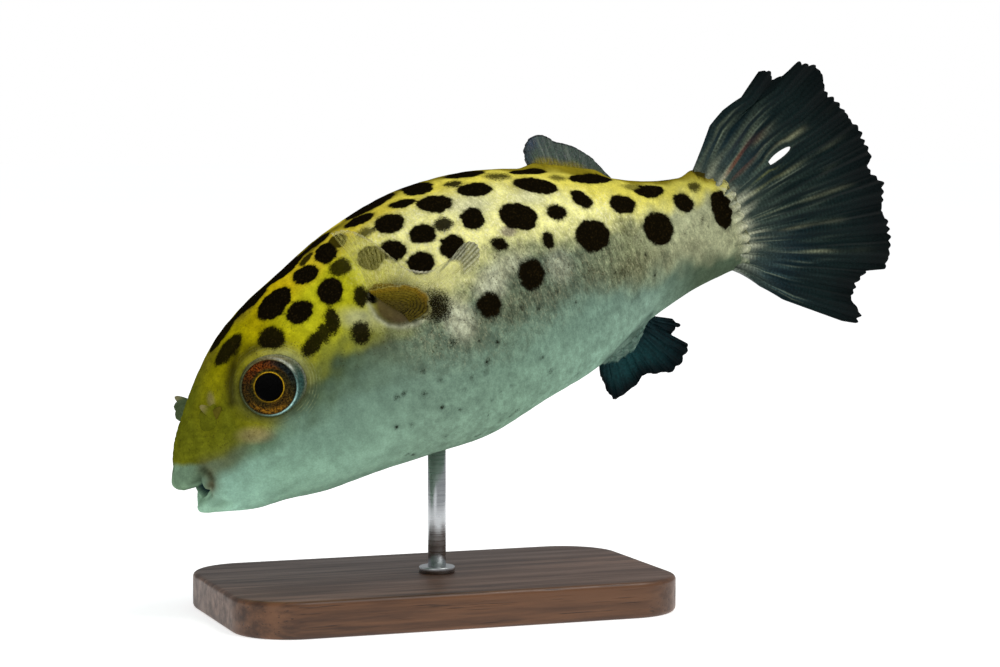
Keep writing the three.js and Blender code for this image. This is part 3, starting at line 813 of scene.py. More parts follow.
class Skin:
    """The body's surface as a grid: rings from the mouth to the tail root."""

    def __init__(self):
        turns = side_turns()
        u, turn = np.meshgrid(ring_places(), turns, indexing="ij")
        self.base = body_surface(u, turn)
        along = np.gradient(self.base, axis=0)
        around = np.roll(self.base, -1, 1) - np.roll(self.base, 1, 1)
        self.normal = unit(np.cross(around, along))
        step = np.linalg.norm(np.diff(self.base, axis=1), axis=-1)
        length = np.concatenate([np.zeros((SKIN_RINGS, 1)), np.cumsum(step, 1)], 1)
        ridge = SKIN_SIDES // 2
        self.girth = length - length[:, ridge:ridge + 1]  # from the ridge, positive on the left
        self.down = np.abs(self.girth)
        self.x, self.y, self.z = np.moveaxis(self.base, -1, 0)
        self.points = self.base.copy()

    def raise_by(self, height):
        self.points = self.points + self.normal * height[..., None]

    def frame_at(self, x, girth):
        """The point at x and a distance down from the ridge, with its normal and two tangents."""
        gap = (self.x - x) ** 2 + (self.girth - girth) ** 2
        here = np.unravel_index(np.argmin(gap), gap.shape)
        normal = self.normal[here]
        tailward = unit(np.array([1.0, 0, 0]) - normal[0] * normal)
        downward = np.cross(tailward, normal) * (1 if girth >= 0 else -1)
        return self.base[here], normal, tailward, downward

    def oval(self, x, girth, half_length, half_breadth, tilt=0.0):
        """Distance from an oval's edge on the skin in mm, negative inside, and its size share."""
        centre, normal, tailward, downward = self.frame_at(x, girth)
        from_centre = self.base - centre
        p = from_centre @ tailward
        q = from_centre @ downward
        c, s = math.cos(math.radians(tilt)), math.sin(math.radians(tilt))
        a = p * c + q * s
        b = q * c - p * s
        share = np.hypot(a / half_length, b / half_breadth)
        share = share + 100 * (np.abs(from_centre @ normal) > 1.5 + 0.8 * half_length)
        from_middle = np.hypot(a, b)
        radius = np.where(share > 1e-3, from_middle / np.maximum(share, 1e-3), half_breadth)
        return from_middle - radius, share

    def patch(self, x, girth, half_length, half_breadth, tilt=0.0, soft=0.5):
        """1 inside an oval on the skin and 0 outside, with a soft edge."""
        _, share = self.oval(x, girth, half_length, half_breadth, tilt)
        return fade(1 - soft, 1 + soft, share)

    def near_line(self, points, width):
        """A soft band along a line of points on either side of the body: 1 on the line."""
        best = np.full(self.x.shape, np.inf)
        mirrored = np.stack([self.x, np.abs(self.y), self.z], -1)
        for start, end in zip(points[:-1], points[1:]):
            start = np.array(start, float)
            run = np.array(end, float) - start
            share = np.clip(((mirrored - start) @ run) / (run @ run), 0, 1)
            best = np.minimum(best, np.linalg.norm(mirrored - start - share[..., None] * run, axis=-1))
        return bell(best, width)


# Folds and soft shadows of the head, as points of its right side; the left has the same.
MOUTH_FOLD = [(3.6, 6.8, -0.5), (4.0, 7.2, -1.6), (4.0, 7.25, -2.7), (3.6, 6.9, -3.6)]
LIP_FOLD = [(3.6, 6.9, -3.6), (2.75, 6.2, -4.4), (1.9, 5.2, -5.1)]
MOUTH_CORNER = [(1.5, 4.9, -2.6), (2.5, 5.9, -1.7), (3.4, 6.6, -0.8)]
BROW_GROOVE = [(16.2, 6.2, 15.6), (14.5, 6.7, 13.4), (12.6, 7.9, 10.6), (11.4, 8.8, 7.8)]
GILL_RIM = [
    (37.6, 14.3, 15.9), (36.8, 14.6, 14.4), (37.0, 15.6, 12.0), (38.1, 16.3, 10.3),
    (40.0, 16.8, 9.2), (42.2, 17.0, 8.8), (44.2, 17.1, 9.2),
]
CHEEK_SHADE = [(4.8, 7.6, -0.6), (7.4, 8.4, -0.6), (10.4, 9.4, 0.6)]
# Ovals behind the head: x, distance down, half length, half breadth.
GILL_HOLE = (37.9, 18.2, 0.8, 1.0)
FIN_POCKET = (41.0, 21.9, 4.0, 3.7)
POCKET_TILT = 35


def mouth_place(skin):
    """Each point's height over the mouth's line, and its share of the mouth's width: 1 inside."""
    height = skin.z - MOUTH["z"] - MOUTH["bow"] * skin.y**2
    share = fade(MOUTH["half_width"] - 1.2, MOUTH["half_width"], np.abs(skin.y))
    return height, share * (skin.x < 7)


def mouth_gap(skin):
    """1 in the open slit between the lips, 0 on them."""
    height, share = mouth_place(skin)
    low, high = MOUTH["gap"]
    return share * smooth(low - 0.3, low + 0.15, height) * fade(high - 0.15, high + 0.1, height)


def shape_mouth(skin):
    """Sets the lower jaw back under the upper lip, opens the slit and folds the corners."""
    height, share = mouth_place(skin)
    set_back = np.interp(height, *zip(*MOUTH["profile"]))
    gap = mouth_gap(skin)
    jaw = smooth(-9.4, -7.6, skin.z) * fade(-1.9, -1.0, height) * (skin.x < 7)
    aside = np.minimum(np.abs(skin.y), 5.0) * fade(4.6, 7.2, np.abs(skin.y))
    skin.points[..., 0] += share * set_back + MOUTH["depth"] * gap + MOUTH["jaw_slope"] * jaw * aside
    skin.points[..., 1] *= 1 - MOUTH["narrow"] * gap
    middle = bell(skin.y, 5.2) * (skin.x < 7)
    pads = 0.3 * bell(height - 2.1, 0.9) + 0.25 * bell(height + 2.9, 0.8)
    crease = 0.2 * bell(height - 4.6, 0.7) + 0.16 * bell(height + 4.9, 0.7)
    skin.raise_by((pads - crease) * middle)
    skin.raise_by(-0.4 * skin.near_line(MOUTH_CORNER, 0.5) - 0.45 * skin.near_line(MOUTH_FOLD, 0.5))
    skin.raise_by(-0.25 * skin.near_line(LIP_FOLD, 0.45))
    folds = np.sin(skin.z * 2 * math.pi / 0.95 + 1.6 * ripple(skin.base, 2.4, seed=7))
    skin.raise_by(0.055 * folds * bell(skin.x - 4.5, 3.2) * smooth(0.2, 1.8, skin.z))


def eye_axes(side):
    """The eye's centre, outward axis, and the directions up and tailward across it."""
    outward = unit(on_side(side, EYE["outward"]))
    upward = unit(np.array([0, 0, 1.0]) - outward[2] * outward)
    tailward = unit(np.array([1.0, 0, 0]) - outward[0] * outward - upward[0] * upward)
    return on_side(side, EYE["centre"]), outward, upward, tailward


def eye_rim(angle):
    """Distance from the eye's axis to the rim of the skin."""
    return EYE["rim"] - EYE["squint"] * np.cos(angle) ** 2


def eye_height(radius):
    """Height of the eyeball's surface over its centre at a distance from its axis."""
    return EYE["depth"] * np.sqrt(np.maximum(1 - (radius / EYE["radius"]) ** 2, 0))


def eye_polar(skin, side):
    """Each skin point's distance from the eye's axis, height over its centre, and direction."""
    centre, outward, upward, tailward = eye_axes(side)
    from_centre = skin.points - centre
    height = from_centre @ outward
    level = from_centre - height[..., None] * outward
    radius = np.linalg.norm(level, axis=-1)
    radius = np.where(height > 0, radius, 99.0)
    return radius, height, np.arctan2(level @ tailward, level @ upward), outward


def shape_eye_socket(skin, side):
    """Sinks the skin under the ball and lifts a thin ring of lid round it, with fine folds."""
    radius, height, angle, outward = eye_polar(skin, side)
    rim = eye_rim(angle)
    rim_height = eye_height(rim) + 0.1
    level = blend(height, rim_height, fade(rim + 0.1, rim + 2.6, radius) * 0.9)
    lid = 0.12 * bell(radius - rim - 0.4, 0.35)
    behind_above = facing(angle, 75)
    folds = 0.03 * behind_above * np.sin((radius - rim) * 2 * math.pi / 0.85)
    folds *= bell(radius - rim - 1.6, 1.0)
    around = level + lid + folds
    sunk = eye_height(np.minimum(radius, rim)) - 0.75 * smooth(rim + 0.12, rim - 0.45, radius)
    sunk = np.minimum(sunk, 1.9 + 2.5 * smooth(3.9, 4.9, radius))
    target = np.where(radius < rim + 0.12, np.minimum(around, sunk + 0.05), around)
    near = radius < rim + 6
    skin.points = skin.points + np.where(near, target - height, 0)[..., None] * outward


def shape_gill_and_pocket(skin):
    """The gill hole, the hollow that the side fin grows from, and the rim below them."""
    for side in (LEFT, RIGHT):
        x, girth, length, breadth = FIN_POCKET
        hollow = skin.patch(x, -side * girth, length, breadth, POCKET_TILT, soft=0.28)
        x, girth, length, breadth = GILL_HOLE
        hole = skin.patch(x, -side * girth, length, breadth, 0, soft=0.45)
        skin.raise_by(-1.15 * hollow - 1.5 * hole)
    skin.raise_by(0.42 * skin.near_line(GILL_RIM, 0.5))
    near = skin.near_line(GILL_RIM, 1.6)
    away = np.sqrt(-np.log(np.maximum(near, 1e-9))) * 1.6
    skin.raise_by(0.1 * near * np.cos(away * 2 * math.pi / 0.75))


def tail_angle_share(x, z):
    """Where a point lies across the tail fin's root: 0 at its lower edge, 1 at its upper."""
    hinge_x, hinge_z = CAUDAL["hinge"]
    degrees = np.degrees(np.arctan2(z - hinge_z, x - hinge_x))
    low, high = CAUDAL["margin"][0][0], CAUDAL["margin"][-1][0]
    return (degrees - low) / (high - low)


def shape_fin_bases(skin):
    """Fleshy feet under the dorsal and anal fins, and the tail stem drawn out over the fin rays."""
    dorsal = between(73.2, 76.0, 85.0, 88.4, skin.x)
    skin.raise_by(1.15 * dorsal * bell(skin.y, 1.4) * (skin.z > 0))
    anal = np.interp(skin.x, *zip(*ANAL_FOOT))
    skin.raise_by(anal * bell(skin.y, 1.3) * (skin.z < 0))
    root = smooth(101.0, 107.5, skin.x)
    end_x = TAIL_ROOT["reach"] - TAIL_ROOT["cut_back"] * ((skin.z - TAIL_ROOT["middle_z"]) / 9) ** 4
    ray = ridges(CAUDAL["rays"] * tail_angle_share(skin.x, skin.z), 1.2)
    skin.points[..., 0] += root * (end_x - 107.5) + smooth(105.5, 107.5, skin.x) * 0.5 * (ray - 0.5)
    corner = between(99.5, 103.5, 104.5, 107.0, skin.x)
    skin.raise_by(1.3 * corner * bell(skin.y, 1.8) * (skin.z > 0))
    skin.points[..., 1] *= 1 - TAIL_ROOT["thin"] * smooth(101.5, 107.5, skin.x) * (1 - 0.3 * ray)
    crumple = ripple(skin.base * [0.6, 1.0, 1.0], 1.2, seed=11)
    skin.raise_by(smooth(102.5, 105, skin.x) * (0.15 * crumple + 0.2 * (ray - 0.4)))


def shape_relief(skin):
    """Low uneven swellings of the flesh under the skin."""
    skin.raise_by(0.05 * ripple(skin.base, 9.0, seed=3) * smooth(6, 14, skin.x))
    skin.raise_by(0.018 * ripple(skin.base, 2.4, seed=5) * smooth(4, 10, skin.x))
    skin.raise_by(-0.38 * skin.near_line(BROW_GROOVE, 1.0))


# ---- skin: markings --------------------------------------------------------------------------

# Distance down from the ridge where the yellow of the back ends: [x, distance].
YELLOW_EDGE = [
    (0, 3.3), (3.6, 9.5), (7.6, 14.2), (13.3, 19.3), (20, 19.2), (28.5, 19.6), (34.7, 22.0),
    (39.5, 24.6), (44.7, 26.3), (50, 25), (57, 22.5), (66, 19.4), (73.6, 17.6), (81.2, 14.6),
    (86.2, 11.8), (93.8, 7.0), (100, 5.5), (107.4, 4.5),
]
# The same for the mottled grey below it, where the smooth belly starts.
GREY_EDGE = [
    (0, 6), (8, 15), (22, 24), (28, 24.6), (33.5, 26.5), (39.7, 30), (47.3, 34), (55, 34.2),
    (63.5, 31), (67.8, 29), (75.7, 26), (80.2, 23.8), (86.2, 20.5), (94.6, 15.8), (100, 13.6),
    (107, 12.8),
]

# Height where the snout's olive ends: [x, z].
SNOUT_EDGE = [(0, 0.7), (2.2, 0.5), (4, -0.1), (7.4, 0.3), (10, 1.2), (16, 1.3)]

# Ground colours of the skin in bands from the ridge down: [x, colour].
RIDGE_TINTS = [
    (0, OLIVE), (8, OLIVE), (16, OCHRE), (30, OCHRE), (44, OCHRE * 0.9), (60, OCHRE * 1.1),
    (76, OCHRE * 1.3), (107, OCHRE),
]
SHOULDER_TINTS = [
    (0, OLIVE), (5, OLIVE * 1.1), (13, srgb(140, 134, 8)), (18, LEAF), (27, GOLD),
    (44, GOLD * 0.6 + STRAW * 0.4), (54, GOLD * 0.35 + STRAW * 0.75),
    (84, GOLD * 0.2 + STRAW * 0.8), (107, STRAW * 0.7),
]
# The cream of the upper flank, from x 47 to 80, is pale skin with painted highlight from the light
# above.
UPPER_TINTS = [
    (0, OLIVE), (10, OLIVE), (15, srgb(128, 124, 12)), (20, LEAF), (27, LIME), (36, LIME),
    (47, CREAM_AND_HIGHLIGHT), (80, CREAM_AND_HIGHLIGHT), (96, STRAW), (107, CREAM_AND_HIGHLIGHT * 0.7),
]
MIDDLE_TINTS = [
    (0, LIP), (4, LIP), (7, srgb(88, 104, 76)), (12, srgb(86, 110, 84)), (18, srgb(66, 80, 48)),
    (30, srgb(66, 80, 54)), (39, srgb(92, 106, 84)), (48, SLATE), (58, srgb(88, 100, 80)),
    (70, srgb(86, 100, 84)), (84, srgb(122, 128, 94)), (94, ASH * 1.15), (107, ASH * 0.85),
]
BELLY_TINTS = [
    (0, LIP), (6, MIST), (14, srgb(116, 148, 128)), (26, srgb(108, 136, 118)),
    (40, srgb(104, 128, 111)), (55, srgb(106, 132, 114)), (72, srgb(106, 132, 116)),
    (84, srgb(100, 122, 108)), (96, srgb(70, 84, 66)), (107, srgb(70, 84, 66)),
]

# Black spots: [x, distance down from the ridge, half length, half breadth, degrees tilted down
# towards the tail, ink, fuzz of the edge in mm].
RIDGE_SPOTS = [
    [15.8, 0.0, 3.5, 2.0, 0, 0.98, 0.12],
    [22.6, 0.0, 3.4, 2.7, 0, 1.0, 0.1],
    [29.6, 0.0, 3.5, 2.7, 0, 1.0, 0.1],
    [36.4, 0.2, 2.1, 1.9, 0, 1.0, 0.1],
    [47.0, 0.0, 4.6, 2.9, 0, 1.0, 0.1],
    [96.5, 0.0, 1.6, 1.0, 0, 0.5, 0.25],
    [104.4, 0.4, 1.9, 1.3, 0, 0.8, 0.3],
]
SIDE_SPOTS = [
    [14.9, 5.2, 3.1, 1.5, -6, 0.96, 0.3],
    [24.3, 6.6, 3.4, 2.6, -18, 1.0, 0.1],
    [21.2, 11.3, 2.2, 1.8, 50, 0.98, 0.3],
    [26.8, 12.0, 2.2, 1.9, -15, 1.0, 0.14],
    [30.3, 16.9, 2.1, 1.1, -72, 0.97, 0.5],
    [28.4, 17.6, 1.5, 1.1, -50, 0.95, 0.5],
    [26.3, 17.5, 2.4, 1.15, -25, 0.97, 0.5],
    [33.7, 21.9, 1.7, 1.5, -70, 0.97, 0.5],
    [46.2, 25.6, 2.6, 2.2, 60, 1.0, 1.7],
    [59.8, 5.6, 1.3, 1.0, 0, 0.95, 0.5],
    [68.0, 5.2, 2.0, 1.1, 5, 0.85, 1.3],
    [77.7, 4.9, 1.3, 0.7, 0, 0.7, 0.7],
    [90.0, 3.9, 1.6, 0.7, 5, 0.6, 0.7],
    [32.9, 3.0, 1.5, 0.9, -20, 0.94, 0.2],
    [30.9, 6.8, 2.3, 1.9, 60, 1.0, 0.12],
    [32.4, 12.8, 2.4, 2.0, -80, 1.0, 0.14],
    [35.5, 5.8, 2.6, 1.9, -80, 1.0, 0.12],
    [35.9, 10.9, 1.7, 1.6, 70, 0.93, 0.4],
    [36.1, 17.2, 1.7, 1.0, -70, 0.97, 0.4],
    [38.4, 5.4, 2.0, 1.5, -86, 0.9, 0.14],
    [40.7, 12.9, 2.2, 2.0, -60, 0.95, 0.14],
    [42.6, 8.0, 1.2, 0.9, 20, 0.8, 0.6],
    [43.4, 3.9, 2.6, 1.6, 20, 1.0, 0.12],
    [44.4, 14.3, 2.1, 1.7, 60, 1.0, 0.14],
    [46.7, 9.1, 2.4, 2.2, 40, 1.0, 0.12],
    [47.3, 18.6, 2.1, 1.9, 20, 1.0, 0.14],
    [49.8, 14.2, 2.1, 1.8, 16, 1.0, 0.14],
    [50.4, 6.1, 2.1, 1.3, 30, 1.0, 0.12],
    [53.8, 14.2, 1.5, 1.2, 10, 0.97, 0.5],
    [53.4, 18.3, 2.1, 2.0, -40, 1.0, 0.14],
    [54.8, 9.8, 2.8, 2.0, 26, 1.0, 0.12],
    [55.0, 2.8, 2.4, 3.2, 0, 1.0, 0.12],
    [58.9, 14.7, 2.1, 1.9, -54, 1.0, 0.16],
    [62.4, 8.7, 2.9, 1.7, 12, 1.0, 0.12],
    [63.3, 2.2, 3.3, 2.3, 10, 1.0, 0.12],
    [61.1, 19.9, 1.45, 1.05, 30, 1.0, 0.3],
    [66.3, 14.9, 3.3, 2.5, 20, 1.0, 0.14],
    [69.3, 19.4, 1.4, 1.05, -70, 1.0, 0.25],
    [64.1, 25.7, 2.5, 2.3, -40, 1.0, 0.35],
    [54.7, 29.5, 2.1, 1.9, 4, 1.0, 0.3],
    [73.0, 7.8, 3.8, 1.9, 20, 1.0, 0.12],
    [73.4, 13.7, 1.8, 1.4, 13, 1.0, 0.25],
    [73.6, 2.9, 3.6, 1.2, -6, 1.0, 0.14],
    [77.6, 17.2, 3.4, 2.6, 8, 1.0, 0.18],
    [79.3, 9.9, 2.0, 1.6, 60, 1.0, 0.12],
    [83.7, 3.5, 4.4, 1.5, -4, 1.0, 0.12],
    [85.9, 9.1, 2.6, 1.7, 8, 1.0, 0.12],
    [90.6, 12.3, 3.0, 2.7, 14, 1.0, 0.16],
    [92.4, 4.3, 2.8, 1.5, 6, 1.0, 0.12],
    [97.2, 6.4, 1.9, 1.5, 50, 1.0, 0.12],
    [101.0, 3.4, 1.0, 0.8, 0, 0.85, 0.4],
    [103.7, 7.9, 2.1, 3.2, 10, 1.0, 0.14],
]
SPOT_SPREAD = 0.13  # how far the spots reach past their ovals
# The dark stripe on the ridge of the nape: where it starts and ends, and its half width.
RIDGE_STRIPE = {"start": (12, 15), "end": (38, 41), "half_width": 1.6}
# The other side's spots: how far they are at most moved along and down, resized and turned.
OTHER_SIDE = {"along": 1.3, "down": 0.9, "size": 0.12, "turn": 20}
LEAST_DOWN = 2.6
NO_SPOT = 9.0  # a spot's edge distance where there is none near

# Soft dusky clouds on the flank: [x, distance down, half length, half breadth, tilt, share].
DUSK = [
    [82.4, 22.0, 3.4, 2.6, 20, 0.75],
    [74.9, 25.8, 3.2, 2.2, 10, 0.55],
    [88.5, 18.6, 3.6, 1.9, 25, 0.6],
    [95.4, 14.6, 3.0, 2.0, 10, 0.5],
    [98.4, 17.0, 1.8, 1.4, 0, 0.4],
    [84.1, 14.2, 3.2, 2.6, 0, 0.35],
    [68.5, 28.6, 3.0, 2.0, 0, 0.5],
    [64.5, 29.4, 2.4, 2.0, 0, 0.5],
    [58.5, 30.5, 3.4, 2.4, 0, 0.35],
    [46.4, 25.4, 2.8, 2.4, 60, 1.0],
    [49.4, 33.4, 3.2, 2.0, 20, 0.55],
    [52.5, 31.5, 2.4, 1.6, -20, 0.4],
    [70.4, 8.8, 3.0, 1.1, 14, 0.55],
    [35.5, 25.0, 2.6, 2.2, 0, 0.4],
]
# Pale patches: [x, distance down, half length, half breadth, tilt, share].
PALE_PATCHES = [
    [49.0, 29.6, 2.2, 3.0, 0, 0.75],
    [56.4, 26.4, 2.6, 2.2, 0, 0.7],
    [60.5, 23.6, 3.6, 1.8, 0, 0.5],
    [34.6, 20.0, 3.2, 1.6, 35, 0.5],
    [69.5, 24.0, 2.4, 2.4, 0, 0.4],
    [60.0, 11.6, 4.0, 2.4, 10, 0.6],
    [70.5, 10.6, 3.0, 1.6, 10, 0.6],
]


# What the skin's material reads on the nasal flaps.
FLAP_TEXTURE = {
    "spot_edge": NO_SPOT, "spot_ink": 0.0, "spot_fuzz": 0.2, "cream": 0.0, "streaks": 0.0,
    "stipple": 0.25, "mottle": 0.3, "eye_ring": 20.0, "eye_lines": 0.0,
}


def spot_rows():
    """Every spot of both sides: the hidden side has its own, like those of the near one."""
    random = np.random.default_rng(20)
    yield from RIDGE_SPOTS
    for x, down, length, breadth, tilt, ink, fuzz in SIDE_SPOTS:
        yield x, down, length, breadth, tilt, ink, fuzz
        change = {key: random.uniform(-most, most) for key, most in OTHER_SIDE.items()}
        size = 1 + change["size"]
        other = -max(down + change["down"], LEAST_DOWN)
        yield x + change["along"], other, length * size, breadth * size, tilt + change["turn"], ink, fuzz


def spot_fields(skin):
    """The nearest spot's edge distance, ink and fuzz at each point of the skin."""
    on_nape = between(*RIDGE_STRIPE["start"], *RIDGE_STRIPE["end"], skin.x)
    stripe = skin.down - RIDGE_STRIPE["half_width"] + 0.3 * ripple(skin.base, 3.0, seed=24)
    edge = np.minimum(NO_SPOT, stripe + NO_SPOT * (1 - on_nape))
    ink = np.ones(skin.x.shape)
    fuzz = np.full(skin.x.shape, 0.15)
    for x, girth, length, breadth, tilt, spot_ink, spot_fuzz in spot_rows():
        distance = skin.oval(x, girth, length, breadth, tilt)[0] - SPOT_SPREAD
        nearer = distance < edge
        edge = np.where(nearer, distance, edge)
        ink = np.where(nearer, spot_ink, ink)
        fuzz = np.where(nearer, spot_fuzz, fuzz)
    return edge, ink, fuzz


def on_both_sides(skin, x, down, *shape, **soft):
    """A soft oval patch at the same place on both sides of the body."""
    left = skin.patch(x, down, *shape, **soft)
    right = skin.patch(x, -down, *shape, **soft)
    return np.maximum(left, right)


def zone_shares(skin):
    """How far each point is into the grey zone and into the belly zone."""
    wave = 0.8 * ripple(skin.base, 7.0, seed=21) + 0.5 * ripple(skin.base, 3.0, seed=22)
    yellow_end = np.interp(skin.x, *zip(*YELLOW_EDGE)) + wave
    grey_end = np.interp(skin.x, *zip(*GREY_EDGE)) + wave
    width = np.interp(skin.x, [0, 12, 24, 60, 90, 107], [0.9, 2.0, 4.2, 4.2, 2.6, 1.8])
    grey = smooth(-1, 1, (skin.down - yellow_end) / width)
    belly = smooth(-1, 1, (skin.down - grey_end - 1.5) / (width * 1.15))
    below = np.interp(skin.x, *zip(*SNOUT_EDGE)) + 0.12 * wave - skin.z
    ahead = fade(12, 19, skin.x)
    soft = np.interp(skin.x, [0, 6, 14], [0.5, 0.8, 1.2])
    grey = blend(grey, smooth(-1, 1, below / soft), ahead)
    belly = blend(belly, smooth(0.8, 3.8, below), ahead)
    return grey, belly


def skin_tint(skin):
    """The painted ground colour of the skin at each point."""
    grey, belly = zone_shares(skin)
    wavy = skin.down + ripple(skin.base, 6.0, seed=23)
    ridge = tint_along(RIDGE_TINTS, skin.x)
    shoulder = paint(ridge, tint_along(SHOULDER_TINTS, skin.x), smooth(0.8, 3.6, wavy))
    back = paint(shoulder, tint_along(UPPER_TINTS, skin.x), smooth(5.5, 11.5, wavy))
    tint = paint(back, tint_along(MIDDLE_TINTS, skin.x), grey)
    low = skin.down / skin.down.max(1, keepdims=True)
    # Painted light: the belly is painted lighter low down and under the head, against the shade that
    # falls underneath.
    underside_light = smooth(0.55, 0.95, low) * fade(84, 96, skin.x)
    underside_light = underside_light + 0.45 * bell(skin.x - 26, 16) * smooth(0.5, 0.75, low)
    tint = paint(tint, tint_along(BELLY_TINTS, skin.x) * (1 + 0.75 * underside_light)[..., None], belly)
    foot_line = np.interp(skin.x, [73, 77, 81.2, 85], [43, 39.5, 33.8, 29.5])
    foot = smooth(-0.8, 1.2, skin.down - foot_line) * smooth(72.8, 74.6, skin.x)
    foot = foot * fade(84.6, 85.8, skin.x)
    rays = ridges(2.1 * skin.x + 0.35 * skin.z, 2)
    tint = paint(tint, blend(srgb(66, 86, 76), srgb(96, 118, 106), rays[..., None]), foot * 0.85)
    for patches, colour, weight in ((DUSK, DRAB * 0.42, 0.75), (PALE_PATCHES, WHITE_PATCH, 1)):
        for *place, share in patches:
            cloud = on_both_sides(skin, *place, soft=0.7)
            tint = paint(tint, colour, cloud * share * weight)
    tint = coats(
        tint,
        (srgb(116, 104, 96), 0.8 * on_both_sides(skin, 63.6, 17.7, 1.5, 1.0, 10, soft=0.3)),
        (ROSE, 0.6 * on_both_sides(skin, 12.6, 18.4, 2.6, 1.2, 20, soft=0.6)),
        (ROSE, 0.5 * on_both_sides(skin, 9.0, 6.6, 0.7, 1.3, 20, soft=0.5)),
        # Painted shade in the brow groove ahead of the eye.
        (srgb(40, 36, 8), 0.8 * skin.near_line(BROW_GROOVE, 1.0)),
    )
    return tint_head(skin, tint)


def tint_head(skin, tint):
    """Lips, the folds at the mouth's corners, and the skin round the eyes and gills, with painted shade
    in the creases, the mouth's slit, the gill hole and round the eyes.
    """
    height, share = mouth_place(skin)
    front = fade(4.0, 7.0, skin.x)
    below_olive = smooth(-0.4, 0.4, np.interp(skin.x, *zip(*SNOUT_EDGE)) - skin.z)
    tint = coats(
        tint,
        (LIP * 1.1, front * bell(height - 2.0, 1.4) * below_olive * 0.8),
        (srgb(88, 92, 68), 0.55 * skin.near_line(CHEEK_SHADE, 1.5)),
        (MIST * 1.1, front * bell(height + 3.0, 1.2) * 0.5),
        (srgb(80, 78, 54), 0.7 * skin.near_line(MOUTH_FOLD, 1.3)),
        # A dark line in the crease of the mouth's fold: painted shade.
        (srgb(40, 40, 20), 0.6 * skin.near_line(MOUTH_FOLD[1:], 0.5)),
        (srgb(96, 92, 68), 0.6 * skin.near_line(LIP_FOLD, 0.8)),
        # Along the groove from the slit up to the fold: a painted shadow line.
        (srgb(52, 62, 42), 0.6 * skin.near_line(MOUTH_CORNER, 0.8)),
        # Dark in the open slit: painted shade in the mouth.
        (srgb(18, 52, 62), smooth(0.05, 0.5, mouth_gap(skin))),
    )
    for side in (LEFT, RIGHT):
        radius, _, angle, _ = eye_polar(skin, side)
        outside = radius - eye_rim(angle)
        here = radius < 12
        near = bell(np.maximum(outside, 0), 1.3) * here
        shade = smooth(0.6, 1.4, outside) * bell(outside - 1.6, 1.2) * here
        # Round each eye: painted shade in a band above and a little ahead of the rim, and under and
        # ahead of it; paler skin above and behind.
        tint = coats(
            tint,
            (srgb(62, 56, 6), shade * facing(angle, -16) ** 3 * 0.8),
            (srgb(134, 138, 94), near * facing(angle, 56) ** 4 * 0.8),
            (srgb(58, 62, 46), near * facing(angle, 215) * 0.6),
        )
    x, down, length, breadth = FIN_POCKET
    pocket = on_both_sides(skin, x, down, length * 0.94, breadth * 0.94, POCKET_TILT, soft=0.2)
    x, down, length, breadth = GILL_HOLE
    hole = on_both_sides(skin, x, down, length * 1.1, breadth * 1.1, 0, soft=0.25)
    crumple = smooth(-0.8, 0.9, ripple(skin.base * [0.6, 1.0, 1.0], 1.2, seed=11))
    ray = ridges(CAUDAL["rays"] * tail_angle_share(skin.x, skin.z), 1.6)
    root = smooth(104.6, 106.4, skin.x) * smooth(-9.0, -6.0, skin.z) * fade(4.5, 7.0, skin.z)
    return coats(
        tint,
        (WHITE_PATCH, 0.75 * skin.near_line(GILL_RIM, 0.5)),
        (PLUM, pocket * 0.9),
        # Black in the gill hole: painted shade in the pit.
        (INK, hole),
        (WHITE_PATCH, root * (0.3 + 0.7 * crumple * (0.4 + 0.6 * ray))),
        (srgb(112, 118, 102), root * (1 - ray) * smooth(105, 107.5, skin.x) * 0.6),
    )


def eye_rings(skin):
    """Distance from the nearer eye's rim, and where the fine rings round it show."""
    radius = np.full(skin.x.shape, 99.0)
    lines = np.zeros(skin.x.shape)
    for side in (LEFT, RIGHT):
        here, _, angle, _ = eye_polar(skin, side)
        behind_above = facing(angle, 85) ** 1.5
        outside = here - eye_rim(angle)
        band = between(0.05, 0.4, 1.3, 3.1, outside)
        lines = np.where(outside < radius, band * (0.1 + 0.9 * behind_above), lines)
        radius = np.minimum(radius, outside)
    return np.minimum(radius, 20.0), lines


def nasal_flap(side):
    """A forked tentacle beside the snout: its points, faces, and share of each lobe's length."""
    root = on_side(side, NASAL_FLAP["foot"])
    points, faces, share = [], [], []
    steps, sides = NASAL_FLAP["steps"], NASAL_FLAP["sides"]
    turn = np.arange(sides) / sides * 2 * math.pi
    t = np.linspace(0, 1, steps)[:, None]
    for k, (reach, half_width, blunt) in enumerate(NASAL_FLAP["lobes"]):
        reach = on_side(side, reach)
        along = unit(reach)
        across = unit(np.array([0, 0, 1.0]) - along[2] * along)
        through = np.cross(across, along)
        sunk = NASAL_FLAP["sunk"] * along
        middle = root - sunk + (reach + sunk) * t
        middle = middle + across * 0.2 * np.sin(math.pi * t)
        half = half_width * np.sqrt(np.maximum(1 - t**blunt, 0)) * (1.15 - 0.15 * t) + 0.02
        thick = NASAL_FLAP["thickness"] * np.sqrt(np.maximum(1 - t**2.4, 0)) + 0.02
        ring = (np.cos(turn)[None, :, None] * across * half[..., None]
                + np.sin(turn)[None, :, None] * through * thick[..., None])
        points.append((middle[:, None] + ring).reshape(-1, 3))
        quads = grid_quads(steps, sides, k * steps * sides, closed=True)
        faces.append(quads if side == LEFT else quads[:, ::-1])
        share.append(np.repeat(t[:, 0], sides))
    return np.concatenate(points), np.concatenate(faces), np.concatenate(share)


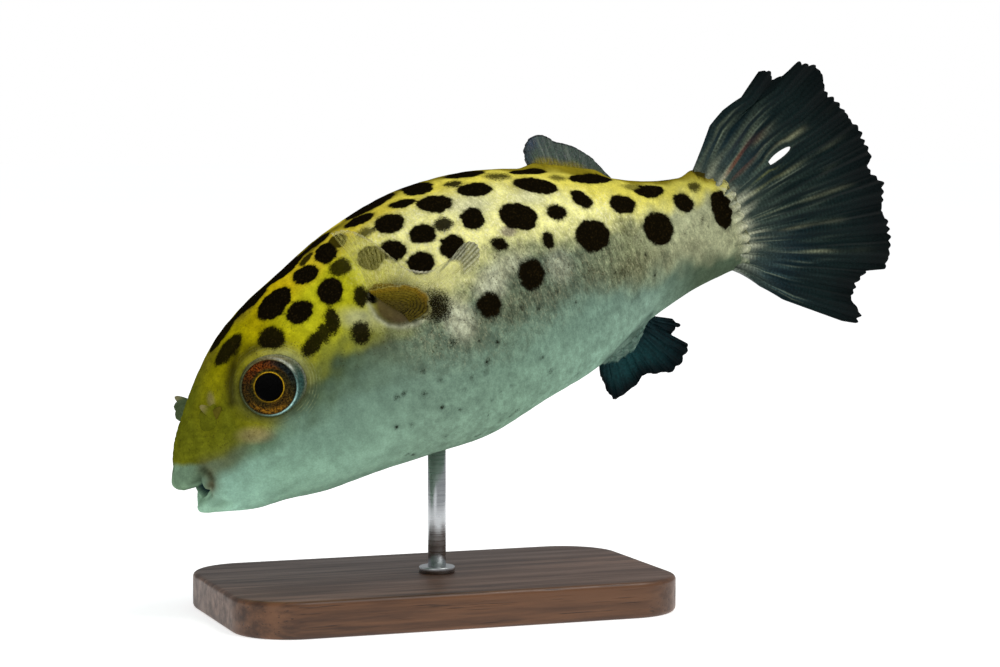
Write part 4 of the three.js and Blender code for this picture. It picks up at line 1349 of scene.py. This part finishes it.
def flap_values(side, flap, share):
    """What the skin's material reads at the points of a nasal flap."""
    lobes = len(NASAL_FLAP["lobes"])
    lobe = np.repeat(np.arange(lobes), len(flap) // lobes)
    ground = OLIVE if side == LEFT else srgb(88, 104, 72)
    tint = coats(
        blend(ground * 0.95, ground * 0.75, share[:, None]),
        (ROSE, (lobe == NASAL_FLAP["pointed_lobe"]) * smooth(0.6, 0.95, share) * 0.5),
        # Brown on the rear lobe: painted shade behind the flap.
        (srgb(86, 76, 24), (lobe == NASAL_FLAP["rear_lobe"]) * 0.8),
    )
    values = {key: np.full(len(flap), value) for key, value in FLAP_TEXTURE.items()}
    return {"body_mm": flap, "tint": tint, **values}


def skin_values(skin):
    """What the skin's material reads at the points of the body."""
    x = skin.x
    edge, ink, fuzz = spot_fields(skin)
    grey, belly = zone_shares(skin)
    ring, lines = eye_rings(skin)
    trunk = smooth(34, 44, x)
    # Pale flecks show most on the upper back, where they are partly painted sheen.
    back_flecks_and_sheen = (1 - grey) * trunk * fade(84, 98, x) * smooth(5, 11, skin.down)
    pocket = on_both_sides(skin, *FIN_POCKET, POCKET_TILT, soft=0.3)
    cream = 0.8 * back_flecks_and_sheen + 0.16 * grey * (1 - belly) * trunk + 0.2 * smooth(103, 106, x)
    streaks = 0.55 * grey * (1 - 0.7 * belly) * smooth(46, 62, x) * (1 - 0.7 * smooth(80, 96, x))
    dotted = 0.7 * grey * (1 - belly) ** 2 * smooth(12, 40, x) * (1 - 0.7 * smooth(78, 94, x))
    stipple = 0.08 + dotted + 0.5 * (1 - grey) * fade(20, 34, x) - 0.15 * belly
    clouded = 0.6 * grey * (1 - 0.75 * belly) * trunk * (1 - 0.6 * smooth(80, 96, x))
    mottle = 0.25 + 0.1 * (1 - grey) * fade(18, 30, x) + clouded - 0.1 * belly
    values = {
        "body_mm": skin.base, "tint": skin_tint(skin),
        "spot_edge": edge, "spot_ink": ink, "spot_fuzz": fuzz,
        "cream": np.clip(cream, 0, 1) * (1 - pocket), "streaks": streaks,
        "stipple": np.clip(stipple, 0, 1), "mottle": np.clip(mottle, 0, 1),
        "eye_ring": ring, "eye_lines": lines,
    }
    return {key: flat(value) for key, value in values.items()}


def body_grid():
    """The body's quads, and their corners in its strip of the UV square."""
    quads = grid_quads(SKIN_RINGS, SKIN_SIDES, closed=True)
    column = (quads[:, 0] % SKIN_SIDES)[:, None] + np.array([0.0, 1.0, 1.0, 0.0])
    row = (quads[:, 0] // SKIN_SIDES)[:, None] + np.array([0.0, 0.0, 1.0, 1.0])
    u = UV_EDGE + UV_BODY_WIDTH * column / SKIN_SIDES
    v = UV_EDGE + (1 - 2 * UV_EDGE) * row / (SKIN_RINGS - 1)
    return quads, np.stack([u, v], -1).reshape(-1, 2)


def body_cap(first, hub, way):
    """A fan from the ring that starts at a point to a hub point, and its corners in the strip."""
    rim = first + np.arange(SKIN_SIDES)
    fan = np.stack([rim, np.full(SKIN_SIDES, hub), np.roll(rim, -1)][::way], -1)
    u = UV_EDGE + UV_BODY_WIDTH * np.arange(SKIN_SIDES) / SKIN_SIDES
    step = UV_BODY_WIDTH / SKIN_SIDES
    rim_v, hub_v = (UV_EDGE, UV_HUB) if way == 1 else (1 - UV_EDGE, 1 - UV_HUB)
    corners = [(u, rim_v), (u + step / 2, hub_v), (u + step, rim_v)][::way]
    uv = np.stack([np.stack([a, np.full(SKIN_SIDES, b)], -1) for a, b in corners], 1)
    return fan, uv.reshape(-1, 2)


def make_skin(material):
    """One skin over head, trunk and tail stem, with the nasal flaps grown from it."""
    skin = Skin()
    shape_relief(skin)
    shape_mouth(skin)
    for side in (LEFT, RIGHT):
        shape_eye_socket(skin, side)
    shape_gill_and_pocket(skin)
    shape_fin_bases(skin)
    on_body = skin_values(skin)
    values = {key: [value] for key, value in on_body.items()}
    quads, uv = body_grid()
    points, faces, uvs = [flat(skin.points)], quads.tolist(), [uv]
    count = SKIN_RINGS * SKIN_SIDES

    mouth_end = skin.points[0].mean(0)
    tail_end = skin.points[-1].mean(0) + [TAIL_ROOT["dome"], 0, 0]
    for end, first, way in ((mouth_end, 0, 1), (tail_end, count - SKIN_SIDES, -1)):
        fan, uv = body_cap(first, count, way)
        points.append(end[None])
        faces += fan.tolist()
        uvs.append(uv)
        for key, value in on_body.items():
            values[key].append(value[first:first + 1])
        count += 1

    for side in (LEFT, RIGHT):
        flap, flap_faces, share = nasal_flap(side)
        points.append(flap)
        faces += (flap_faces + count).tolist()
        place = flap[:, [0, 2]]
        low, high = place.min(0), place.max(0)
        uv = (place - low) / (high - low) * UV_FLAP_SIZE + UV_FLAP_CORNER[side]
        uvs.append(uv[flap_faces].reshape(-1, 2))
        for key, value in flap_values(side, flap, share).items():
            values[key].append(value)
        count += len(flap)

    values = {key: np.concatenate(parts) for key, parts in values.items()}
    nodes = ("head", "trunk", "caudal_peduncle", "nasal_flap_left", "nasal_flap_right")
    return mesh_piece("puffer_skin", to_row(np.concatenate(points)), faces, material, "skin", nodes,
                      np.concatenate(uvs), **values)


# ---- eyes ------------------------------------------------------------------------------------

def eye_profile():
    """Radius and height from the ball's hidden edge over the white, iris and pupil."""
    white = [(r, eye_height(r)) for r in np.linspace(EYE["hidden_edge"], EYE["iris"] + 0.12, 22)]
    step = [(EYE["iris"] + 0.05, eye_height(EYE["iris"]) - 0.08),
            (EYE["iris"], eye_height(EYE["iris"]) - 0.3)]
    iris = []
    for r in np.linspace(EYE["iris"] - 0.06, EYE["pupil"], 34):
        share = (r - EYE["pupil"]) / (EYE["iris"] - EYE["pupil"])
        iris.append((r, 3.18 + 0.3 * (1 - share) + 0.12 * math.sin(math.pi * share)))
    lens = [(r, 3.2 - 0.4 * (1 - (r / EYE["pupil"]) ** 2)) for r in np.linspace(2.22, 0.02, 12)]
    return np.array(white + step + iris + lens)


def eye_tint(radius, angle):
    """Colours of the eye: radius from its axis, angle from the top over the tailward side."""
    def towards(degrees, sharpness=1.0):
        return facing(angle, degrees) ** sharpness

    wave = 0.5 + 0.5 * np.sin(7 * angle + 2 * np.sin(3 * angle)) * np.sin(11 * angle + 1)
    outer = smooth(3.2, 3.7, radius)
    golden = fade(2.4, 2.95, radius + 0.3 * wave)
    gold_line = bell(radius - 2.36, 0.075)
    iris = coats(
        plain(srgb(46, 38, 8), radius),
        (srgb(112, 50, 8), towards(-8, 3.0) * smooth(2.7, 3.2, radius) * (0.6 + 0.4 * wave)),
        (srgb(26, 28, 12), towards(97, 2.0) * 0.85),
        (srgb(18, 28, 30), towards(62, 8.0) * outer * 0.95),
        (srgb(118, 78, 14), towards(202, 5.0) * outer * (0.5 + 0.5 * wave)),
        (srgb(64, 40, 6), towards(170, 4.0) * (1 - outer) * 0.6),
        (srgb(22, 22, 6), towards(285, 5.0) * 0.75),
        (srgb(14, 12, 6), smooth(4.1, 4.35, radius) * 0.6),
        (srgb(96, 78, 12), golden * (0.25 + 0.6 * towards(-12, 2.0))),
        (srgb(200, 156, 26), gold_line * (0.25 + 0.7 * towards(60, 1.3))),
        (srgb(0, 0, 0), fade(2.24, 2.34, radius)),
    )
    ball = coats(
        plain(srgb(64, 72, 46), radius),
        (srgb(118, 118, 84), towards(38, 3.0)),
        (srgb(42, 70, 66), towards(104, 5.0)),
        (srgb(50, 74, 66), towards(160, 5.0) * 0.9),
        (srgb(116, 94, 44), towards(8, 8.0) * 0.8),
        (srgb(60, 60, 24), towards(292, 2.0) * 0.9),
    )
    ball = blend(ball, ball * 0.6, (0.5 + 0.5 * np.sin(15 * radius + 3 * wave))[..., None] * 0.5)
    ball = paint(ball, srgb(112, 112, 118), bell(radius - 5.35, 0.1) * towards(95, 2.0) * 0.8)
    # Painted highlights: a pale cyan crescent at the iris's edge low on the tailward side, and a white
    # one high on that side.
    low_shine = bell(radius - 4.5, 0.11) * (0.04 + 0.96 * towards(152, 9.0))
    high_shine = bell(radius - 4.62, 0.13) * towards(54, 20.0) * (0.4 + 0.6 * wave)
    lid = blend(srgb(64, 66, 30), srgb(128, 132, 104), towards(52, 2.5)[..., None])
    return coats(
        iris,
        (ball, smooth(4.28, 4.42, radius)),
        (srgb(168, 212, 206), low_shine),
        (srgb(206, 212, 200), high_shine * 0.8),
        (lid, smooth(-0.4, 0.0, radius - eye_rim(angle)) * 0.75),
    )


def make_eye(side, name, material, clear):
    """The ball with its iris and pupil, and the clear window over them."""
    centre, outward, upward, tailward = eye_axes(side)
    sides = EYE["sides"]
    profile = eye_profile()
    points, turn = lathe(profile, centre, outward, upward, sides)
    flip = 1 if np.dot(np.cross(outward, upward), tailward) > 0 else -1
    angle = np.broadcast_to(turn * flip, points.shape[:2])
    radius = np.broadcast_to(profile[:, 0, None], points.shape[:2])
    shift = EYE["iris_shift"][0] * tailward + EYE["iris_shift"][1] * upward
    points = points + fade(EYE["iris"] + 0.1, EYE["rim"], radius)[..., None] * shift
    quads = grid_quads(len(profile), sides, closed=True)[:, ::-1]
    count = len(profile) * sides
    hub = points[-1].mean(0)
    rim = count - sides + np.arange(sides)
    fan = np.stack([np.roll(rim, -1), rim, np.full(sides, count)], -1)
    everything = np.concatenate([points.reshape(-1, 3), hub[None]])
    tint = flat(eye_tint(radius, angle))
    iris = flat(between(2.5, 2.7, 4.2, 4.35, radius))
    specks = iris * flat(0.6 + 0.35 * np.cos(angle + 0.4))
    faces = [face[::-1] for face in quads.tolist() + fan.tolist()]
    mesh_piece(name, to_row(everything), faces, material, "eye", (name,), None,
               body_mm=everything, tint=np.concatenate([tint, tint[-1:]]),
               iris=np.concatenate([iris, iris[-1:]]), specks=np.concatenate([specks, specks[-1:]]))

    radii = np.linspace(EYE["iris"] + 0.1, 0.02, 28)
    heights = eye_height(radii) + 0.02
    points, _ = lathe(np.stack([radii, heights], -1), centre + shift, outward, upward, sides)
    dome = points.reshape(-1, 3)
    faces = grid_quads(len(radii), sides, closed=True).tolist()
    mesh_piece(name.replace("eye", "cornea"), to_row(dome), faces, clear, "eye", body_mm=dome)


# ---- fins ------------------------------------------------------------------------------------

def branching(f, t, rays):
    """Fin rays that fork twice on their way out: 1 on a ray, 0 on the web."""
    single = ridges(rays * f, 4)
    double = ridges(2 * rays * f + 0.5, 3)
    fourfold = ridges(4 * rays * f + 0.5, 2)
    forked = blend(single, double, smooth(0.18, 0.4, t))
    return blend(forked, fourfold, smooth(0.5, 0.78, t))


def fin_ripple(f, t, across, along, size, seed):
    """A ripple over a fin that is taken to be so many units across its rays and along them."""
    return ripple(np.stack([f * across, t * along, 0 * f], -1), size, seed)


def fin_grid(across, along):
    """Shares across the fin's rays, 0 to 1, and along them from the foot to the tip."""
    return np.meshgrid(np.linspace(0, 1, across), np.linspace(0, 1, along), indexing="ij")


def caudal_sheet(f, t):
    """The middle surface of the tail's pleated fan, and each point's reach from the hinge."""
    margin, lower, upper = (np.array(CAUDAL[key], float)
                            for key in ("margin", "lower_edge", "upper_edge"))
    first, last = margin[0, 0], margin[-1, 0]
    reach = np.interp(first + (last - first) * f, margin[:, 0], margin[:, 1])
    tips = 0.35 * (ridges(4 * CAUDAL["rays"] * f + 0.5, 1.0) - 0.5)
    reach = reach + tips + 0.25 * np.sin(f * 173) * np.sin(f * 61)
    low = np.interp(t, lower[:, 1], lower[:, 0])
    high = np.interp(t, upper[:, 1], upper[:, 0])
    angle = blend(first, last, f) + (low - first) * (1 - f) ** 4 + (high - last) * f**4
    angle = np.radians(angle)
    radius = blend(CAUDAL["root_reach"], reach, t)
    hinge_x, hinge_z = CAUDAL["hinge"]
    pleat = 0.5 * CAUDAL["fold"] * t * np.sin(2 * math.pi * CAUDAL["rays"] * f)
    wave = 0.5 * t**2 * np.sin(2 * math.pi * (1.6 * f + 0.1))
    middle = np.stack([hinge_x + radius * np.cos(angle), pleat + wave,
                       hinge_z + radius * np.sin(angle)], -1)
    return middle, radius


def open_split(middle):
    """Parts the tail's rays along its split: the row and columns where the sheet stays open."""
    (x0, z0), (x1, z1) = CAUDAL["split"]
    run = np.array([x1 - x0, z1 - z0])
    length = np.linalg.norm(run)
    run = run / length
    from_start = middle[..., [0, 2]] - [x0, z0]
    on_axis = from_start @ run / length
    off_axis = from_start @ np.array([-run[1], run[0]])
    half_way = np.abs(on_axis - 0.5) < 0.06
    row = int(np.argmin(np.where(half_way, np.abs(off_axis), 99).min(1)))
    open_by = CAUDAL["split_half_width"] * np.sqrt(np.clip(1 - (2 * on_axis - 1) ** 2, 0, 1))
    side = np.where(np.arange(len(middle))[:, None] > row, 1.0, -1.0)
    push = open_by * side * bell(off_axis, 2.2)
    middle[..., 0] += -run[1] * push
    middle[..., 2] += run[0] * push
    inside = np.nonzero((on_axis[row] > 0.02) & (on_axis[row] < 0.98))[0]
    return row, int(inside[0]), int(inside[-1]) + 1


def caudal_tint(f, t, ray):
    """The tail's colours: a dark web, paler bone, single bright rays, and a pale root."""
    fine = fin_ripple(f, t, 60, 6, 2.0, seed=41)
    patchy = smooth(-0.9, 1.1, fin_ripple(f, t, 22, 9, 2.4, seed=42))
    web = coats(
        plain(srgb(8, 22, 22), f),
        (srgb(12, 34, 46), bell(t - 0.3, 0.2) * (0.5 + 0.5 * np.sin(9 * f)) * 0.7),
        (srgb(52, 64, 58), fade(0.14, 0.5, t) * 0.8),
    )
    bone = coats(
        plain(srgb(62, 76, 66), f),
        (srgb(104, 112, 86), smooth(0.7, 0.95, f) * fade(0.4, 0.8, t)),
        (srgb(46, 70, 76), fade(0.05, 0.3, f) * 0.8),
        (srgb(14, 24, 25), smooth(0.4, 0.8, t) * 0.9),
    )
    bony = ray * smooth(-1.2, 0.9, fine) * (0.85 - 0.3 * t) * (0.45 + 0.55 * patchy)
    hair = ridges(4 * CAUDAL["rays"] * f + 0.5 + 0.1 * fine, 8)
    hair = hair * smooth(-0.6, 1.2, np.roll(fine, 31, 0)) * fade(0.45, 0.75, t) * smooth(0.1, 0.25, t)
    olive = bell(f - 0.64, 0.03) * bell(t - 0.38, 0.1) * smooth(-0.5, 1, fine)
    red = bell(f - 0.8, 0.04) * bell(t - 0.32, 0.16) * smooth(0.0, 1.4, fine)
    tint = coats(
        web,
        (bone, bony),
        (srgb(120, 132, 112), hair * patchy * 0.5),
        (srgb(132, 128, 34), olive * ray * 0.7),
        (srgb(112, 60, 40), red * 0.6),
    )
    for place, reach in CAUDAL["pale_rays"]:
        pale = bell(f - place, 0.008) * bell(t - reach, 0.28) * smooth(-0.8, 1.0, fine)
        tint = paint(tint, srgb(132, 134, 104), pale * patchy * 0.7)
    middle = bell(f - 0.5, 0.36)
    root = fade(0.15, 0.3 + 0.06 * np.sin(23 * f), t) * ridges(CAUDAL["rays"] * f, 1.6)
    return coats(
        tint,
        (srgb(2, 6, 7), smooth(0.72, 1.0, t) * 0.85),
        (srgb(112, 118, 102), fade(0.17, 0.23, t) * middle * 0.8),
        (WHITE_PATCH * 0.9, root * middle * smooth(-1.6, 0.6, fine) * 0.9),
    )


def make_caudal_fin(material):
    """The fan of the tail: pleated, branching rays, a ragged margin and a narrow split."""
    f, t = fin_grid(*FIN_GRIDS["caudal"])
    ray = branching(f, t, CAUDAL["rays"])
    middle, reach = caudal_sheet(f, t)
    slit = open_split(middle)
    thickness = 0.32 + 0.5 * ray * (1 - 0.65 * t) + 1.1 * fade(0.05, 0.26, t)
    thickness += 0.5 * ridges(CAUDAL["rays"] * f, 3) * fade(0.1, 0.45, t)
    fin_piece("caudal_fin", middle, thickness, material, "fin_dark", ("caudal_fin",), slit,
              body_mm=middle, tint=caudal_tint(f, t, ray), ray=ray * fade(0.55, 0.9, t) * 0.8,
              reach=reach)


def midline_sheet(rays, grid, fold, notch):
    """The middle surface of a fin on the midline, with its fork pattern."""
    f, t = fin_grid(*grid)
    foot_x, foot_z, tip_x, tip_z = np.moveaxis(through_even_rows(rays)(f[:, 0]), -1, 0)
    count = len(rays)
    ray = branching(f, t, count - 1)
    reach = t * (1 + notch * (ridges((count - 1) * f, 1.5) - 0.6))
    pleat = fold * t * np.sin(2 * math.pi * count * f)
    middle = np.stack([blend(foot_x[:, None], tip_x[:, None], reach), pleat,
                       blend(foot_z[:, None], tip_z[:, None], reach)], -1)
    length = np.hypot(tip_x - foot_x, tip_z - foot_z)[:, None] * t
    return f, t, middle, ray, length


def make_dorsal_fin(material):
    """A small smoky fan on a fleshy olive foot."""
    f, t, middle, ray, length = midline_sheet(DORSAL_RAYS, FIN_GRIDS["dorsal"], 0.12, 0.0)
    middle[..., 1] += 0.35 * t**2 * np.sin(2 * math.pi * f)
    root = fade(0.0, 0.35, t)
    thickness = 0.34 + 0.22 * ray * (1 - 0.7 * t) + 1.3 * root
    fine = fin_ripple(f, t, 44, 3, 2.2, seed=43)
    cloud = fin_ripple(f, t, 14, 4, 2.6, seed=44)
    fleshy = fade(-0.5, 0.7, (t - 0.4 - 0.05 * cloud) * length.max(1, keepdims=True) / 1.2)
    tint = coats(
        plain(srgb(76, 92, 84), f),
        (srgb(74, 96, 62), smooth(-0.4, 1.4, cloud) * fade(0.5, 0.85, t) * 0.8),
        (srgb(40, 58, 70), fade(0.06, 0.2, f) * 0.8),
        (srgb(52, 66, 96), bell(f - 0.22, 0.1) * smooth(0.6, 0.85, t) * 0.7),
        (srgb(138, 150, 134), smooth(0.2, 1.7, fine) * bell(f - 0.42, 0.26) * 0.65),
        (srgb(46, 58, 56), smooth(0.2, 1.8, -fine) * 0.5),
        (srgb(150, 138, 26), fleshy * 0.85),
        (srgb(96, 74, 14), fleshy * smooth(0.0, 1.2, fine) * 0.5),
        (srgb(12, 20, 26), smooth(0.94, 0.99, t) * 0.9),
    )
    cover = np.clip(0.82 + 0.15 * ray + 0.3 * root, 0, 1)
    fin_piece("dorsal_fin", middle, thickness, material, "fin_smoke", ("dorsal_fin",),
              body_mm=middle, tint=tint, ray=ray * 0.12, reach=length, cover=cover)


def make_anal_fin(material):
    """A dark blade on a grey-green foot."""
    f, t, middle, ray, length = midline_sheet(ANAL_RAYS, FIN_GRIDS["anal"], 0.26, 0.03)
    middle[..., 1] += 0.3 * t**2 * np.sin(2.4 * math.pi * f + 0.6)
    x, _, z = np.moveaxis(middle, -1, 0)
    hem = np.interp(x, *zip(*ANAL_HEM))
    fine = fin_ripple(f, t, 60, 5, 2.0, seed=47)
    fleshy = smooth(-0.35, 0.45, z - hem + 0.12 * fine)
    thickness = 0.34 + 0.4 * ray * (1 - 0.6 * t) + 0.9 * fleshy + 1.6 * fleshy * (1 - t)
    tint = coats(
        plain(srgb(5, 22, 26), f),
        (srgb(30, 56, 60), ray * smooth(-1, 1, fine) * fade(0.35, 0.8, t) * 0.65),
        (srgb(22, 60, 62), bell(f - 0.3, 0.25) * bell(t - 0.5, 0.35) * 0.8),
        (srgb(80, 106, 94), fleshy * 0.95),
        (srgb(116, 138, 126), fleshy * ridges(26 * f + 2 * t, 2) * 0.45),
        (srgb(1, 6, 8), smooth(0.7, 1.0, t) * 0.85),
    )
    fin_piece("anal_fin", middle, thickness, material, "fin_dark", ("anal_fin",),
              body_mm=middle, tint=tint, ray=ray * 0.2 * (1 - fleshy), reach=length)


def shell_place(middle):
    """Distance from the middle of the pectoral's golden shell, its size share, and its height."""
    x, _, z = np.moveaxis(middle, -1, 0)
    tilt = math.radians(PECTORAL_SHELL["tilt"])
    along = (x - PECTORAL_SHELL["x"]) * math.cos(tilt) + (z - PECTORAL_SHELL["z"]) * math.sin(tilt)
    above = (z - PECTORAL_SHELL["z"]) * math.cos(tilt) - (x - PECTORAL_SHELL["x"]) * math.sin(tilt)
    return np.hypot(along, above / PECTORAL_SHELL["squash"]), above


def make_pectoral_fin(side, name, rays, material):
    """A clear fan over a golden foot that is folded like the rim of a shell, and painted as lit from
    above.
    """
    f, t = fin_grid(*FIN_GRIDS["pectoral"])
    angle, length, lift = np.moveaxis(through_even_rows(rays)(f[:, 0]), -1, 0)
    a = np.radians(angle)[:, None]
    b = np.radians(lift)[:, None]
    direction = np.stack([np.cos(a) * np.cos(b), side * np.sin(b), np.sin(a) * np.cos(b)], -1)
    count = len(rays) + 5
    ray = branching(f, t, count)
    scallop = 0.2 * (ridges(count * 2 * f, 1.0) - 0.5) * smooth(0.6, 1, t)
    top = on_side(side, PECTORAL_FOOT["top"])
    bottom = on_side(side, PECTORAL_FOOT["bottom"])
    foot = blend(top, bottom, f[..., None])
    tip = foot + direction * length[:, None, None]
    shift = on_side(side, PECTORAL_FOOT["shift"]) * fade(0.0, 0.75, f)[..., None]
    foot = foot + shift
    reach = np.linalg.norm(tip - foot, axis=-1) * t
    middle = blend(foot, tip, t[..., None]) + direction * scallop[..., None]
    middle[..., 1] += side * PECTORAL_BOW * np.sin(math.pi * t)
    soft = ripple(middle, 2.5, seed=31)
    fine = ripple(middle, 1.2, seed=35)
    shell, above = shell_place(middle)
    edge = PECTORAL_SHELL["reach"]
    golden = fade(edge - 0.5, edge + 0.4, shell + 0.15 * soft + 0.1 * fine)
    fold = ridges(shell / PECTORAL_SHELL["fold"] + 0.1 * soft, 1.3)
    middle[..., 1] += side * (0.5 * bell(reach - 3.0, 1.9) + 0.05 * fold * golden)
    middle[..., 1] += side * 0.1 * t * np.sin(2 * math.pi * count * f) * (1 - golden)
    thickness = 0.14 + 0.16 * ray * (1 - 0.5 * t) + 1.1 * fade(1.2, 5.0, reach)

    lobe = fade(0.2, 0.36, f)
    line = ridges(2 * count * f, 1.6)
    # The golden foot is painted as lit from above: lighter above and darker below, with painted
    # highlight on the fold crests and along the upper rim, and painted shade in the troughs.
    upper = smooth(-0.2, 3.0, above)
    outer = smooth(edge - 1.6, edge - 0.5, shell) * bell(above - 2.0, 1.6)
    ends = smooth(0.7, 0.78, t) * smooth(0.56, 0.62, f) * fade(0.82, 0.88, f)
    hem = smooth(0.93, 0.98, t) * (bell(f - 0.42, 0.1) + 0.4 * lobe)
    gold = coats(
        blend(srgb(46, 42, 10), srgb(102, 88, 16), upper[..., None]),
        (srgb(146, 126, 40), fold**2 * (0.35 + 0.05 * upper)),
        (srgb(24, 19, 6), (1 - fold) * (0.4 - 0.3 * upper)),
        (srgb(172, 132, 30), outer * 0.4),
        (srgb(84, 74, 34), fade(1.4, 3.0, shell) * 0.6),
    )
    tint = coats(
        plain(srgb(168, 168, 118), f),
        (srgb(156, 150, 66), lobe * 0.9),
        (srgb(206, 204, 132), bell(f - 0.62, 0.16) * bell(t - 0.62, 0.25) * 0.8),
        (srgb(196, 190, 112), lobe * line * 0.5),
        (gold, golden),
        (srgb(92, 92, 62), ends * 0.9),
        (srgb(196, 196, 174), ends * ridges(2 * count * f, 2.5) * 0.8),
        (srgb(206, 202, 184), hem * 0.8),
    )
    cover = 0.1 + 0.05 * fine + 0.08 * ray + lobe * (0.17 * line - 0.02)
    cover = cover + 0.2 * bell(f - 0.62, 0.18) * bell(t - 0.6, 0.3) + 0.5 * ends + 0.4 * hem
    cover = cover * (1 - 0.9 * smooth(0.78, 0.86, f) * (1 - golden))
    cover = np.maximum(np.clip(cover, 0.02, 0.95), smooth(0.1, 0.7, golden))
    fin_piece(name, middle, thickness, material, "fin_clear", (name,), body_mm=middle, tint=tint,
              ray=ray * 0.3 * (1 - golden), reach=reach, cover=cover)


# ---- stand -----------------------------------------------------------------------------------

def rounded_outline(half_x, half_y, corner, steps=14):
    """A rectangle with round corners, anticlockwise."""
    points = []
    for k, (sx, sy) in enumerate(((1, -1), (1, 1), (-1, 1), (-1, -1))):
        start = (k - 1) * math.pi / 2
        for angle in np.linspace(start, start + math.pi / 2, steps):
            x = sx * (half_x - corner) + corner * math.cos(angle)
            y = sy * (half_y - corner) + corner * math.sin(angle)
            points.append((x, y))
    return np.array(points)


def stacked_faces(rows, columns):
    """Faces of a stack of rings of points, closed at both ends."""
    last = (rows - 1) * columns
    ends = [list(range(columns))[::-1], list(range(last, last + columns))]
    return grid_quads(rows, columns, closed=True).tolist() + ends


def quarter(steps):
    """Sines and cosines from no turn to a right angle."""
    return [(math.sin(turn), math.cos(turn)) for turn in np.linspace(0, math.pi / 2, steps + 1)]


def make_stand_base(material):
    """A flat slab with rounded corners and softly rounded edges."""
    bevel, height = STAND["bevel"], STAND["height"]
    levels = [(bevel * (1 - s), bevel * (1 - c)) for s, c in quarter(6)]
    levels += [(bevel * (1 - c), height - bevel + bevel * s) for s, c in quarter(6)]
    levels += [(inset, height) for inset in STAND["top_insets"]]
    rings = []
    for inset, z in levels:
        outline = rounded_outline(STAND["length"] / 2 - inset, STAND["depth"] / 2 - inset,
                                  STAND["corner"] - inset)
        rings.append(np.column_stack([outline, np.full(len(outline), z)]))
    faces = stacked_faces(len(rings), len(rings[0]))
    points = MM * np.concatenate(rings)
    mesh_piece("stand_base", points, faces, material, "stand_wood", ("stand_base",))


def turned_on_stand(name, profile, material, nodes=()):
    """A steel piece turned about the rod's axis, closed at both ends."""
    centre = np.array([STAND["rod_x"], 0, 0])
    points, _ = lathe(profile, centre, np.array([0, 0, 1.0]), np.array([1.0, 0, 0]), STAND["sides"])
    faces = stacked_faces(len(profile), STAND["sides"])
    mesh_piece(name, MM * points.reshape(-1, 3), faces, material, "stand_steel", nodes)


def make_stand_rod(material):
    """The rod from the base up into the fish, and the collar round its foot."""
    radius = STAND["rod_radius"]
    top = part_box("stand_rod")[1].z / MM + STAND["rod_into_fish"]
    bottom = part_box("stand_rod")[0].z / MM
    profile = [(radius, bottom), (radius, (bottom + top) / 2), (radius, top)]
    turned_on_stand("stand_rod", profile, material, ("stand_rod",))
    edge, r = STAND["collar_edge"], STAND["collar_radius"]
    foot = STAND["height"] - 0.02
    top = foot + STAND["collar_height"]
    curve = [(r, foot)]
    curve += [(r - edge * (1 - c), top - edge + edge * s) for s, c in quarter(5)]
    curve += [(radius + 0.15, top), (radius - 0.1, top - 0.1)]
    turned_on_stand("stand_collar", curve, material)


# ---- studio ----------------------------------------------------------------------------------

def make_camera():
    """Looks at the model as the photographer did."""
    azimuth, elevation = math.radians(CAMERA["azimuth"]), math.radians(CAMERA["elevation"])
    back = Vector((math.sin(azimuth) * math.cos(elevation),
                   -math.cos(azimuth) * math.cos(elevation), math.sin(elevation)))
    data = bpy.data.cameras.new("camera")
    data.lens = CAMERA["lens"]
    data.sensor_width = 36
    data.clip_start = 0.01
    camera = add_object("camera", data)
    camera.location = Vector(CAMERA["target"]) + back * CAMERA["distance"]
    camera.rotation_euler = back.to_track_quat("Z", "Y").to_euler()
    bpy.context.scene.camera = camera


def make_studio():
    """A pale floor under soft light, mostly from above."""
    steps = 9
    line = np.linspace(-FLOOR_HALF_SIZE, FLOOR_HALF_SIZE, steps)
    x, y = np.meshgrid(line, line, indexing="ij")
    points = np.stack([x, y, np.zeros_like(x)], -1).reshape(-1, 3)
    mesh = bpy.data.meshes.new("studio_floor")
    mesh.from_pydata(points.tolist(), [], grid_quads(steps, steps)[:, ::-1].tolist())
    mesh.materials.append(floor_material())
    add_object("studio_floor", mesh)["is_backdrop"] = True

    for name, place, size, watts, colour in LIGHTS:
        data = bpy.data.lights.new(name, "AREA")
        data.shape = "DISK"
        data.size = size
        data.energy = watts
        data.color = colour
        light = add_object(name, data)
        light.location = place
        light.rotation_euler = (Vector(place) - Vector(LIT_PLACE)).to_track_quat("Z", "Y").to_euler()

    world = Shading("studio", bpy.data.worlds.new("studio"))
    seen = world.node("Background", {"Color": (1, 1, 1), "Strength": 1.0}).outputs[0]
    lighting = world.node("Background", {"Color": (0.95, 0.98, 1), "Strength": 0.42}).outputs[0]
    by_camera = world.node("LightPath").outputs["Is Camera Ray"]
    mixed = world.node("MixShader", {0: by_camera, 1: lighting, 2: seen})
    bpy.context.scene.world = world.finish(mixed.outputs[0])
    bpy.context.scene.view_settings.view_transform = "Standard"


# ---- the model -------------------------------------------------------------------------------

make_camera()
make_studio()

make_skin(skin_material())

eye_look = eye_material()
cornea_look = cornea_material()
make_eye(LEFT, "eye_left", eye_look, cornea_look)
make_eye(RIGHT, "eye_right", eye_look, cornea_look)

dark_fin = fin_material("fin_dark", 0.42)
make_caudal_fin(dark_fin)
make_anal_fin(dark_fin)
make_dorsal_fin(fin_material("fin_smoke", 0.36, clear=True))
clear_fin = fin_material("fin_clear", 0.3, clear=True)
make_pectoral_fin(LEFT, "pectoral_fin_left", LEFT_PECTORAL_RAYS, clear_fin)
make_pectoral_fin(RIGHT, "pectoral_fin_right", RIGHT_PECTORAL_RAYS, clear_fin)

make_stand_base(wood_material())
make_stand_rod(steel_material())


def corners(box):
    return [[float(value) for value in corner] for corner in box]


{"cad": corners(cad_box), "visual": corners(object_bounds())}
